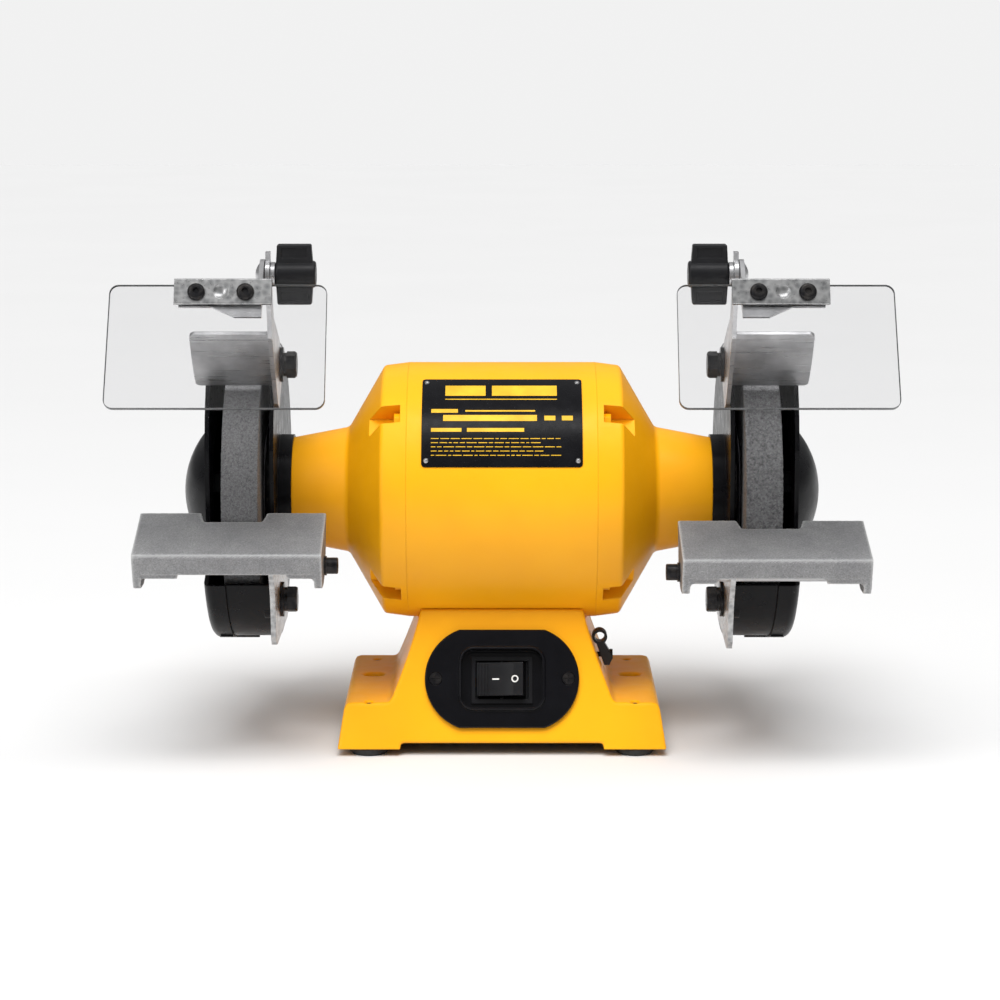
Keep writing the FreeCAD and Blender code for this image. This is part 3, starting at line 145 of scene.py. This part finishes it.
def ramp(made, value, stops):
    """A colour ramp over a value."""
    node = add(made, "ShaderNodeValToRGB")
    elements = node.color_ramp.elements
    while len(elements) < len(stops):
        elements.new(0.5)
    for element, (position, color) in zip(elements, stops):
        element.position = position
        element.color = (*color, 1.0)
    link(made, value, node.inputs["Fac"])
    return node.outputs["Color"]


def grey_ramp(made, value, low, high, start=0.3, end=0.7):
    return ramp(made, value, [(start, (low,) * 3), (end, (high,) * 3)])


def multiply(made, first, second):
    """One colour times another."""
    mixed = add(made, "ShaderNodeMixRGB", blend_type="MULTIPLY", Fac=1.0)
    link(made, first, mixed.inputs["Color1"])
    link(made, second, mixed.inputs["Color2"])
    return mixed.outputs["Color"]


def bump(made, height, depth_mm, below=None):
    """A normal from a height, laid over the normal below it."""
    node = add(made, "ShaderNodeBump", Strength=1.0, Distance=depth_mm * MM)
    link(made, height, node.inputs["Height"])
    if below is not None:
        link(made, below, node.inputs["Normal"])
    return node.outputs["Normal"]


def soft_edges(made, radius_mm):
    """A normal that rounds sharp edges a little, as paint and tumbling do."""
    node = add(made, "ShaderNodeBevel", Radius=radius_mm * MM)
    node.samples = BEVEL_SAMPLES
    return node.outputs["Normal"]


def worn_and_highlit_edges(made, color, bright):
    """Mixes a brighter tone into a colour along the edges that stand out of the shape, partly rubbed wear and
    partly a painted highlight.
    """
    geometry = add(made, "ShaderNodeNewGeometry")
    raised = add(made, "ShaderNodeMapRange")
    raised.inputs["From Min"].default_value = WEAR_AND_HIGHLIGHT_FROM
    raised.inputs["From Max"].default_value = WEAR_AND_HIGHLIGHT_TO
    link(made, geometry.outputs["Pointiness"], raised.inputs["Value"])
    mixed = add(made, "ShaderNodeMixRGB")
    link(made, raised.outputs["Result"], mixed.inputs["Fac"])
    link(made, color, mixed.inputs["Color1"])
    mixed.inputs["Color2"].default_value = (*bright, 1.0)
    return mixed.outputs["Color"]


def enamel(name, light, dark, roughness, peel_mm=0.02, edge_mm=0.8, coat=0.25, shine=0.5):
    """Sprayed enamel on a casting: a little orange peel, a slow drift of tone and soft edges."""
    made = new_material(name, light, roughness)
    tone = ramp(made, noise(made, 45, 2), [(0.32, dark), (0.68, light)])
    gloss = grey_ramp(made, noise(made, 9, 3), roughness - 0.05, roughness + 0.07)
    casting = bump(made, noise(made, 14, 2), 0.12, soft_edges(made, edge_mm))
    skin = bump(made, noise(made, 1.6, 2), peel_mm, casting)
    set_values(made, Coat_Weight=coat, Coat_Roughness=0.12, Specular_IOR_Level=shine)
    return use(made, Base_Color=tone, Roughness=gloss, Normal=skin)


def plastic(name, color, roughness, grain_mm=0.5, depth_mm=0.02, edge_mm=0.5, shine=0.3):
    """Moulded plastic with a fine spark-eroded grain."""
    made = new_material(name, color, roughness)
    set_values(made, Specular_IOR_Level=shine)
    lighter = tuple(c * 1.35 + 0.001 for c in color)
    tone = ramp(made, noise(made, 12, 4), [(0.35, color), (0.7, lighter)])
    gloss = grey_ramp(made, noise(made, 5, 3), roughness - 0.06, roughness + 0.08)
    skin = bump(made, noise(made, grain_mm, 2), depth_mm, soft_edges(made, edge_mm))
    return use(made, Base_Color=tone, Roughness=gloss, Normal=skin)


def brushed_metal(name, light, dark, roughness, stretch):
    """Sheet or bar metal with lines drawn along one direction, given by a small stretch."""
    made = new_material(name, light, roughness, 1.0)
    lines = noise(made, 1.0, 3, stretch)
    cloud = noise(made, 16, 3)
    tone = ramp(made, cloud, [(0.3, dark), (0.7, light)])
    streak = grey_ramp(made, lines, roughness - 0.08, roughness + 0.14)
    skin = bump(made, lines, 0.012, soft_edges(made, 0.3))
    return use(made, Base_Color=tone, Roughness=streak, Normal=skin)


def zinc(name, light, dark, roughness):
    """Bright zinc plate: mottled tone and small dull spots."""
    made = new_material(name, light, roughness, 1.0)
    cells = grains(made, 3.2)
    tone = ramp(made, cells.outputs["Distance"], [(0.1, dark), (0.75, light)])
    gloss = grey_ramp(made, noise(made, 2.2, 4), roughness - 0.08, roughness + 0.12)
    skin = bump(made, noise(made, 1.2, 3), 0.02, soft_edges(made, 0.35))
    return use(made, Base_Color=tone, Roughness=gloss, Normal=skin)


def oxide(name):
    """Black oxide on steel: dark, oily, a little brown on worn spots."""
    made = new_material(name, (0.02, 0.02, 0.022), 0.34, 0.75)
    tone = ramp(made, noise(made, 4, 4),
                [(0.4, (0.012, 0.012, 0.014)), (0.75, (0.05, 0.045, 0.042))])
    gloss = grey_ramp(made, noise(made, 1.4, 3), 0.26, 0.46)
    skin = bump(made, noise(made, 0.7, 2), 0.015, soft_edges(made, 0.35))
    return use(made, Base_Color=tone, Roughness=gloss, Normal=skin)


def sand_cast(name):
    """Bare sand-cast metal: grey, dull and grainy, brighter along its edges, partly rubbed wear and partly a
    painted highlight.
    """
    made = new_material(name, (0.33, 0.33, 0.335), 0.55, 0.35)
    grit = noise(made, 0.75, 4, roughness=0.7)
    speck = ramp(made, grit, [(0.30, (0.19, 0.19, 0.193)), (0.5, (0.28, 0.28, 0.283)),
                              (0.72, (0.40, 0.40, 0.403))])
    cloud = ramp(made, noise(made, 22, 3), [(0.35, (0.80, 0.80, 0.81)), (0.7, WHITE)])
    mixed = multiply(made, speck, cloud)
    gloss = grey_ramp(made, noise(made, 6, 3), 0.45, 0.68)
    skin = bump(made, grit, 0.16, soft_edges(made, 0.9))
    # painted highlight and rubbed wear: a brighter grey along the edges
    tone = worn_and_highlit_edges(made, mixed, (0.52, 0.52, 0.52))
    return use(made, Base_Color=tone, Roughness=gloss, Normal=skin)


def abrasive(name, grit_mm, dark, light):
    """Bonded grit: pale and dark grains, each with its own tone, and small pores."""
    made = new_material(name, light, 0.85)
    cells = grains(made, grit_mm)
    between = tuple((a + b) / 2 for a, b in zip(dark, light))
    tones = ramp(made, cells.outputs["Color"], [(0.15, dark), (0.55, between), (0.95, light)])
    pores = ramp(made, noise(made, grit_mm * 2.2, 3),
                 [(0.34, (0.62, 0.62, 0.62)), (0.5, WHITE)])
    mixed = multiply(made, tones, pores)
    edge = bump(made, cells.outputs["Distance"], grit_mm * 0.45)
    skin = bump(made, noise(made, grit_mm * 2.5, 3), grit_mm * 0.4, edge)
    return use(made, Base_Color=mixed, Normal=skin)


def clear_sheet(name):
    """Clear shatterproof plastic with faint handling marks."""
    made = new_material(name, (0.90, 0.90, 0.905), 0.0)
    set_values(made, Transmission_Weight=1.0, IOR=1.3)
    marks = grey_ramp(made, noise(made, 18, 5, roughness=0.7), 0.0, 0.015, 0.55, 0.8)
    return use(made, Roughness=marks)


def copper_wire(name):
    """Enamelled wire wound side by side."""
    made = new_material(name, (0.50, 0.20, 0.08), 0.3, 0.8)
    strands = noise(made, 0.9, 2, (0.08, 1, 1))
    tone = ramp(made, strands, [(0.35, (0.30, 0.10, 0.04)), (0.65, (0.62, 0.27, 0.11))])
    return use(made, Base_Color=tone, Normal=bump(made, strands, 0.25))


def laminations(name):
    """A stack of thin steel sheets."""
    made = new_material(name, (0.35, 0.35, 0.36), 0.4, 1.0)
    sheets = add(made, "ShaderNodeTexWave", Scale=1.0 / (0.9 * MM) / (2 * math.pi), Distortion=0.4)
    link(made, place(made), sheets.inputs["Vector"])
    tone = ramp(made, sheets.outputs["Fac"],
                [(0.2, (0.20, 0.20, 0.21)), (0.7, (0.45, 0.45, 0.46))])
    return use(made, Base_Color=tone, Normal=bump(made, sheets.outputs["Fac"], 0.05))


def rubber(name):
    """Soft black rubber, a little dusty."""
    made = new_material(name, (0.018, 0.018, 0.018), 0.7)
    tone = ramp(made, noise(made, 6, 4),
                [(0.35, (0.012, 0.012, 0.012)), (0.7, (0.035, 0.034, 0.033))])
    skin = bump(made, noise(made, 0.8, 3), 0.04, soft_edges(made, 0.6))
    return use(made, Base_Color=tone, Normal=skin)


def paper(name):
    """Pressed grey paper with short fibres."""
    made = new_material(name, (0.16, 0.16, 0.17), 0.8)
    fibres = noise(made, 1.4, 5, roughness=0.7)
    tone = ramp(made, fibres, [(0.3, (0.10, 0.10, 0.11)), (0.7, (0.24, 0.24, 0.25))])
    return use(made, Base_Color=tone, Normal=bump(made, fibres, 0.05))


YELLOW = (0.90, 0.405, 0.004)
YELLOW_DEEP = (0.86, 0.37, 0.003)
MATERIALS = {
    "yellow_paint": enamel("yellow_enamel", YELLOW, YELLOW_DEEP, 0.40, coat=0.0, shine=0.35),
    "black_paint": enamel("black_enamel", (0.004, 0.004, 0.005), (0.002, 0.002, 0.003), 0.30,
                          peel_mm=0.03, edge_mm=0.6, coat=0.0, shine=0.15),
    "nameplate_black": plastic("black_print", (0.003, 0.003, 0.004), 0.25,
                               grain_mm=0.8, depth_mm=0.006, edge_mm=0.2, shine=0.15),
    "black_gloss_plastic": plastic("gloss_black_plastic", (0.002, 0.002, 0.003), 0.14,
                                   grain_mm=0.9, depth_mm=0.004, edge_mm=0.7, shine=0.2),
    "black_plastic": plastic("matte_black_plastic", (0.006, 0.006, 0.007), 0.38, depth_mm=0.03),
    "wheel_fine": abrasive("fine_grit", 0.6, (0.14, 0.14, 0.143), (0.23, 0.23, 0.234)),
    "wheel_coarse": abrasive("coarse_grit", 0.9, (0.12, 0.12, 0.123), (0.225, 0.225, 0.229)),
    "bright_steel": brushed_metal("brushed_steel", (0.74, 0.74, 0.75), (0.46, 0.46, 0.47), 0.32,
                                  stretch=(0.03, 1, 1)),
    "zinc_plate": zinc("bright_zinc", (0.52, 0.52, 0.52), (0.28, 0.285, 0.29), 0.32),
    "black_oxide": oxide("black_oxide"),
    "bearing_steel": brushed_metal("ground_steel", (0.80, 0.80, 0.81), (0.72, 0.72, 0.73), 0.15,
                                   stretch=(1, 0.1, 0.1)),
    "core_steel": laminations("laminated_steel"),
    "copper": copper_wire("enamelled_copper"),
    "cast_rest": sand_cast("sand_cast_metal"),
    "clear_plastic": clear_sheet("clear_shield"),
    "rubber": rubber("black_rubber"),
    "blotter_paper": paper("pressed_paper"),
    "capacitor_can": brushed_metal("drawn_aluminium", (0.80, 0.80, 0.80), (0.68, 0.68, 0.69), 0.3,
                                   stretch=(0.05, 1, 1)),
}
# Painted shade: the shield rims are an opaque dark grey, standing in for the dark refraction lines along a clear
# sheet's edge
SHIELD_EDGE_PAINTED_SHADE = plastic("shield_edge_painted_shade", (0.095, 0.098, 0.10), 0.25,
                      grain_mm=0.8, depth_mm=0.004, edge_mm=0.1)
# Nodes drawn in another finish than their slot's: the through bolts in the castings' yellow paint, the arbor nuts
# in black paint as painted shade in the dark gap between wheel and guard
PAINT_AND_SHADE_OVERRIDES = {"through_bolts": "yellow_paint", "arbor_nuts": "black_paint"}


def paint_nodes():
    """Give every CAD node its slot's material, or its override, which is real paint on the through bolts and
    painted shade on the arbor nuts.
    """
    for entry in frame["record"]["subparts"]:
        mesh = NODES[entry["node"]].data
        mesh.materials.clear()
        mesh.materials.append(MATERIALS[PAINT_AND_SHADE_OVERRIDES.get(entry["node"], entry["material_slot"])])


# --- making pieces ---
def into_scene(name, data):
    made = bpy.data.objects.new(name, data)
    bpy.context.scene.collection.objects.link(made)
    return made


def piece(name, mesh, body, slot, material=None):
    """A new object from a mesh, which rides on a body and takes its finish from a slot."""
    made = into_scene(name, mesh)
    mesh.materials.clear()
    mesh.materials.append(material or MATERIALS[slot])
    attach(made, body)
    return made


def finish_mesh(name, shape, smooth=True):
    """A mesh from a bmesh, merged, facing outwards and shaded."""
    bmesh.ops.remove_doubles(shape, verts=shape.verts, dist=MERGE)
    bmesh.ops.recalc_face_normals(shape, faces=shape.faces)
    mesh = bpy.data.meshes.new(name)
    shape.to_mesh(mesh)
    shape.free()
    for polygon in mesh.polygons:
        polygon.use_smooth = smooth
    return mesh


def round_shaft(x, radius, angle):
    """A point at an angle round the shaft, from the back upwards."""
    return x, SHAFT.y + radius * math.cos(angle), SHAFT.z + radius * math.sin(angle)


def band(shape, first, second):
    """Faces between two closed rings with as many points each."""
    for i in range(len(first)):
        j = (i + 1) % len(first)
        shape.faces.new((first[i], first[j], second[j], second[i]))


# --- grinding wheels ---
WHEEL_BORE = 6.45 * MM
WHEEL_CORNER = 0.8 * MM
WHEEL_FACE = 0.3 * MM       # a point this near a side face is pitted along the axis
PITS_FROM = 20 * MM         # radius inside which the faces are plain, under the flanges
RIM_PITS_FROM = 30 * MM     # radius outside which pits also go towards the axis


def wheel_profile(low_x, high_x, radius, step):
    """(x, r) points round the section of a wheel, with small rounded corners at the rim."""
    top = radius - WHEEL_CORNER
    width = high_x - low_x - 2 * WHEEL_CORNER
    rings = max(2, round((top - WHEEL_BORE) / step))
    rise = [WHEEL_BORE + (top - WHEEL_BORE) * i / rings for i in range(rings + 1)]
    across = max(2, round(width / step))
    turn = [(WHEEL_CORNER * (1 - math.cos(math.radians(angle))),
             top + WHEEL_CORNER * math.sin(math.radians(angle))) for angle in (30, 60)]
    points = [(low_x, r) for r in rise]
    points += [(low_x + inset, r) for inset, r in turn]
    points += [(low_x + WHEEL_CORNER + width * i / across, radius) for i in range(across + 1)]
    points += [(high_x - inset, r) for inset, r in reversed(turn)]
    return points + [(high_x, r) for r in reversed(rise)]


def gritty_wheel(side, slot, step_mm, depth_mm, seed):
    """The whole wheel as one closed skin, pitted inwards where grains have broken out."""
    low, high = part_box(side + "_wheel")
    radius = (high.z - low.z) / 2
    profile = wheel_profile(low.x, high.x, radius, step_mm * MM)
    around = round(2 * math.pi * radius / (step_mm * MM))
    chance = random.Random(seed)
    shape = bmesh.new()
    rings = []
    for x, r in profile:
        ring = []
        for i in range(around):
            angle = 2 * math.pi * i / around
            pit = depth_mm * MM * chance.random() ** 2
            at = x
            if r >= PITS_FROM and x < low.x + WHEEL_FACE:
                at = x + pit
            elif r >= PITS_FROM and x > high.x - WHEEL_FACE:
                at = x - pit
            out = r - pit if r > RIM_PITS_FROM else r
            ring.append(shape.verts.new(round_shaft(at, out, angle)))
        rings.append(ring)
    for a, b in zip(rings, rings[1:] + rings[:1]):
        band(shape, a, b)
    made = piece(side + "_grit_wheel", finish_mesh(side + "_grit_wheel", shape), "spindle", slot)
    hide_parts(side + "_wheel")


# --- tool rests and base: castings with soft edges ---
EASE_FACTOR = 0.5
EASE_STEPS = 2


def casting(node, body, slot, voxel_mm, pits_mm, seed):
    """A cast skin over a CAD shape: evenly remeshed, edges eased, surface a little uneven."""
    mesh = NODES[node].data.copy()
    made = into_scene(node + "_skin", mesh)
    remesh = made.modifiers.new("even", "REMESH")
    remesh.mode = "VOXEL"
    remesh.voxel_size = voxel_mm * MM
    remesh.use_smooth_shade = True
    ease = made.modifiers.new("ease", "SMOOTH")
    ease.factor = EASE_FACTOR
    ease.iterations = EASE_STEPS
    depsgraph = bpy.context.evaluated_depsgraph_get()
    skin = bpy.data.meshes.new_from_object(made.evaluated_get(depsgraph))
    bpy.data.objects.remove(made)
    bpy.data.meshes.remove(mesh)
    chance = random.Random(seed)
    normals = [v.normal.copy() for v in skin.vertices]
    for vertex, normal in zip(skin.vertices, normals):
        vertex.co -= normal * (pits_mm * MM * chance.random())
    made = piece(node + "_skin", skin, body, slot)
    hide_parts(node)


# --- nameplate print ---
PLATE_THICK = 0.6 * MM
PRINT_GAP = 0.03 * MM
PRINT_THICK = 0.06 * MM
PRINT_RADIUS = FRAME_R + PLATE_THICK + PRINT_GAP
BAR_STEP = 1.5              # degrees between a bar's points
# Bars as (left, right, low, high): x in mm along the shaft, then degrees above the front
TITLE_BARS = [(-31.0, -9.0, 54.4, 61.2), (-5.5, 30.0, 54.4, 61.2), (-31.0, 30.0, 52.0, 52.5)]
DATA_BARS = [(-38.5, -24.0, 44.6, 46.6), (-20.0, 18.0, 45.2, 46.0), (-32.0, 19.0, 40.3, 43.4),
             (23.0, 29.0, 40.6, 43.0), (32.5, 38.5, 40.6, 43.0),
             (-38.5, -22.0, 35.0, 36.8), (-19.0, 12.0, 35.0, 36.8)]
LINE_COUNT = 5
LINE_LEFT = -38.5
LINE_RIGHT = 30.0
LINE_SHORTER = 9.0          # every second line ends this much sooner
LINE_TOP = 31.6
LINE_PITCH = 1.9
LINE_TALL = 0.34
WORD_SHORTEST = 1.6
WORD_SPREAD = 4.2
WORD_GAP = 0.9
WORD_OVERHANG = 2


def print_bar(shape, x0, x1, low, high):
    """A thin curved bar on the plate: x in mm along the shaft, low and high in degrees."""
    steps = max(1, math.ceil((high - low) / BAR_STEP))
    columns = []
    for x in (x0 * MM, x1 * MM):
        for r in (PRINT_RADIUS, PRINT_RADIUS + PRINT_THICK):
            line = []
            for i in range(steps + 1):
                angle = math.radians(180 - low - (high - low) * i / steps)
                line.append(shape.verts.new(round_shaft(x, r, angle)))
            columns.append(line)
    inner_left, outer_left, inner_right, outer_right = columns
    sides = ((outer_left, outer_right), (inner_right, inner_left), (inner_left, outer_left),
             (outer_right, inner_right))
    for i in range(steps):
        for a, b in sides:
            shape.faces.new((a[i], b[i], b[i + 1], a[i + 1]))
    for i in (0, steps):
        shape.faces.new((inner_left[i], outer_left[i], outer_right[i], inner_right[i]))


def nameplate_print():
    """Plain bars in the places of a title, a data box and lines of small print."""
    shape = bmesh.new()
    chance = random.Random(5)
    for bar in TITLE_BARS + DATA_BARS:
        print_bar(shape, *bar)
    for row in range(LINE_COUNT):
        low = LINE_TOP - LINE_PITCH * row
        x = LINE_LEFT
        end = LINE_RIGHT - LINE_SHORTER * (row % 2)
        while x < end:
            word = WORD_SHORTEST + WORD_SPREAD * chance.random()
            print_bar(shape, x, min(x + word, end + WORD_OVERHANG), low, low + LINE_TALL)
            x += word + WORD_GAP
    ink = plastic("yellow_print", (0.60, 0.35, 0.02), 0.4, grain_mm=0.8, depth_mm=0.004, edge_mm=0.05)
    mesh = finish_mesh("nameplate_print", shape, smooth=False)
    piece("nameplate_print", mesh, "root", "nameplate_black", ink)


# --- eye shields ---
PANE_MERGE = 1e-6           # m
FLAT_WITHIN = math.radians(3)
RIM_BENDS_BY = math.radians(60)
RIM_EASE = 0.35 * MM
FACES_OUT = 0.999           # cosine, for a face of the sheet and not of its rim


def shield(side):
    """The clear sheet with eased edges in an opaque darker grey, painted shade for the dark lines that refraction
    draws along its rim.
    """
    node = side + "_shield_pane"
    shape = bmesh.new()
    shape.from_mesh(NODES[node].data)
    bmesh.ops.remove_doubles(shape, verts=shape.verts, dist=PANE_MERGE)
    bmesh.ops.dissolve_limit(shape, angle_limit=FLAT_WITHIN, verts=shape.verts, edges=shape.edges)
    face_normal = max(shape.faces, key=lambda f: f.calc_area()).normal.copy()
    rims = [e for e in shape.edges
            if len(e.link_faces) == 2 and e.calc_face_angle() > RIM_BENDS_BY]
    bmesh.ops.bevel(shape, geom=rims, offset=RIM_EASE, segments=2, affect="EDGES", profile=0.5)
    for face in shape.faces:
        face.material_index = 0 if abs(face.normal.dot(face_normal)) > FACES_OUT else 1
        face.smooth = False
    mesh = bpy.data.meshes.new(side + "_clear_shield")
    shape.to_mesh(mesh)
    shape.free()
    indices = [p.material_index for p in mesh.polygons]
    made = piece(side + "_clear_shield", mesh, side + "_shield", "clear_plastic")
    # the rim faces take the painted-shade grey
    mesh.materials.append(SHIELD_EDGE_PAINTED_SHADE)
    for polygon, index in zip(mesh.polygons, indices):
        polygon.material_index = index
    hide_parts(node)


# --- rocker marks ---
ROCKER_TIP = 9.0            # degrees that the rocker's face leans at rest
MARK_SUNK = -0.25           # mm from the face, and the same for the next
MARK_PROUD = 0.09
BAR_AT = -2.4
BAR_HALF_LONG = 1.9
BAR_HALF_WIDE = 0.38
RING_AT = 8.4
RING_INNER = 1.25
RING_OUTER = 2.0
RING_STEPS = 36
LOOK_FROM = 30 * MM         # how far outside the face a ray starts


def rocker_marks():
    """A short bar and a ring, the usual marks for on and off, lying on the rocker's face."""
    hinge = joint("switch_rock")
    up = Vector(hinge["axis"]).normalized()
    right = Matrix.Rotation(math.radians(-ROCKER_TIP), 3, up) @ Vector((1, 0, 0))
    out = right.cross(up).normalized()
    centre = Vector(hinge["pos_m"])
    centre.x = 0.0
    face = NODES["switch_rocker"].data
    rocker = BVHTree.FromPolygons([v.co for v in face.vertices], [p.vertices for p in face.polygons])
    shape = bmesh.new()

    def at(x, y, height):
        start = centre + right * (x * MM) + up * (y * MM) + out * LOOK_FROM
        hit = rocker.ray_cast(start, -out)[0]
        return hit + out * (height * MM)

    def solid(outline):
        lower = [shape.verts.new(at(x, y, MARK_SUNK)) for x, y in outline]
        upper = [shape.verts.new(at(x, y, MARK_PROUD)) for x, y in outline]
        return lower, upper

    corners = ((-1, -1), (1, -1), (1, 1), (-1, 1))
    lower, upper = solid([(BAR_AT + BAR_HALF_LONG * i, BAR_HALF_WIDE * j) for i, j in corners])
    shape.faces.new(upper)
    shape.faces.new(lower[::-1])
    band(shape, lower, upper)
    turns = [2 * math.pi * i / RING_STEPS for i in range(RING_STEPS)]
    around = [(math.cos(turn), math.sin(turn)) for turn in turns]
    low_in, high_in = solid([(RING_AT + RING_INNER * c, RING_INNER * d) for c, d in around])
    low_out, high_out = solid([(RING_AT + RING_OUTER * c, RING_OUTER * d) for c, d in around])
    for a, b in ((high_in, high_out), (high_out, low_out), (low_out, low_in), (low_in, high_in)):
        band(shape, a, b)
    white = plastic("white_mark", (0.62, 0.62, 0.60), 0.5, grain_mm=0.5, depth_mm=0.01, edge_mm=0.1)
    mesh = finish_mesh("rocker_marks", shape, smooth=False)
    piece("rocker_marks", mesh, "rocker", "black_plastic", white)


# --- stage ---
FLOOR_HALF = 6.0
FLOOR_TONES = (0.695, 0.705)
AMBIENT_LOW = 0.2           # the world's strength near the horizon and below
AMBIENT_HIGH = 0.6          # and straight up
AMBIENT_RISES_FROM = 0.05
BACKDROP = 0.883            # what the camera sees above the floor, the floor's far tone
SUN_POWER = 3.05
SUN_WIDE = 40               # degrees
SUN_TOWARDS = (0.07, 0.6, -1.0)
STRIP_POWER = 3
STRIPS_AIM = (0, 0, 0.13)
# name, place, width and height
STRIPS = [("strip_left", (-0.9, -0.9, 0.9), 0.25, 0.9), ("strip_top", (0.1, -0.35, 1.1), 0.9, 0.25)]


def aim(made, direction):
    made.rotation_euler = Vector(direction).to_track_quat("-Z", "Y").to_euler()


def stage_floor():
    shape = bmesh.new()
    bmesh.ops.create_grid(shape, x_segments=8, y_segments=8, size=FLOOR_HALF)
    mesh = finish_mesh("floor", shape)
    floor = into_scene("floor", mesh)
    made = new_material("pale_floor", (0.70, 0.70, 0.70), 0.9)
    set_values(made, Specular_IOR_Level=0.1)
    tone = grey_ramp(made, noise(made, 300, 2), *FLOOR_TONES)
    mesh.materials.append(use(made, Base_Color=tone))


def studio_world():
    """Soft light from above, and one pale tone for the camera and for what it sees through glass."""
    world = bpy.data.worlds.new("studio")
    world.use_nodes = True
    nodes = world.node_tree.nodes
    links = world.node_tree.links
    direction = nodes.new("ShaderNodeTexCoord")
    parts = nodes.new("ShaderNodeSeparateXYZ")
    links.new(direction.outputs["Generated"], parts.inputs[0])
    ambient = nodes.new("ShaderNodeMapRange")
    ambient.inputs["From Min"].default_value = AMBIENT_RISES_FROM
    ambient.inputs["To Min"].default_value = AMBIENT_LOW
    ambient.inputs["To Max"].default_value = AMBIENT_HIGH
    links.new(parts.outputs["Z"], ambient.inputs["Value"])
    path = nodes.new("ShaderNodeLightPath")
    seen = nodes.new("ShaderNodeMath")
    seen.operation = "MAXIMUM"
    links.new(path.outputs["Is Camera Ray"], seen.inputs[0])
    links.new(path.outputs["Is Transmission Ray"], seen.inputs[1])
    strength = nodes.new("ShaderNodeMapRange")
    strength.inputs["To Max"].default_value = BACKDROP
    links.new(seen.outputs[0], strength.inputs["Value"])
    links.new(ambient.outputs["Result"], strength.inputs["To Min"])
    links.new(strength.outputs["Result"], nodes["Background"].inputs["Strength"])
    nodes["Background"].inputs["Color"].default_value = (*WHITE, 1.0)
    bpy.context.scene.world = world


def lights():
    studio_world()
    data = bpy.data.lights.new("sun", "SUN")
    data.energy = SUN_POWER
    data.angle = math.radians(SUN_WIDE)
    sun = into_scene("sun", data)
    aim(sun, SUN_TOWARDS)
    sun.visible_glossy = False
    sun.visible_transmission = False
    for name, at, width, height in STRIPS:
        data = bpy.data.lights.new(name, "AREA")
        data.energy = STRIP_POWER
        data.size = width
        data.shape = "RECTANGLE"
        data.size_y = height
        strip = into_scene(name, data)
        strip.location = at
        aim(strip, Vector(STRIPS_AIM) - Vector(at))


CAMERA_DISTANCE = 1.6
CAMERA_UP = 9.6             # degrees above the shaft
CAMERA_LENS = 101.95
CAMERA_SENSOR = 36.0
CAMERA_SHIFT = (-0.002, -0.011)
CAMERA_FAR = 30.0


def camera():
    data = bpy.data.cameras.new("camera")
    data.sensor_width = CAMERA_SENSOR
    data.lens = CAMERA_LENS
    data.shift_x, data.shift_y = CAMERA_SHIFT
    data.clip_end = CAMERA_FAR
    made = into_scene("camera", data)
    rise = math.radians(CAMERA_UP)
    made.location = SHAFT + Vector((0, -math.cos(rise), math.sin(rise))) * CAMERA_DISTANCE
    made.rotation_euler = (math.radians(90) - rise, 0, 0)
    bpy.context.scene.camera = made


bpy.context.scene.view_settings.view_transform = "Standard"
camera()
lights()
stage_floor()
paint_nodes()
gritty_wheel("left", "wheel_fine", step_mm=1.0, depth_mm=0.22, seed=17)
gritty_wheel("right", "wheel_coarse", step_mm=1.1, depth_mm=0.35, seed=29)
for seed, side in enumerate(SIDES, start=40):
    casting(side + "_tool_rest", side + "_rest", "cast_rest", voxel_mm=0.8, pits_mm=0.12, seed=seed)
for side in SIDES:
    shield(side)
casting("base_casting", "root", "yellow_paint", voxel_mm=1.1, pits_mm=0.0, seed=3)
nameplate_print()
rocker_marks()
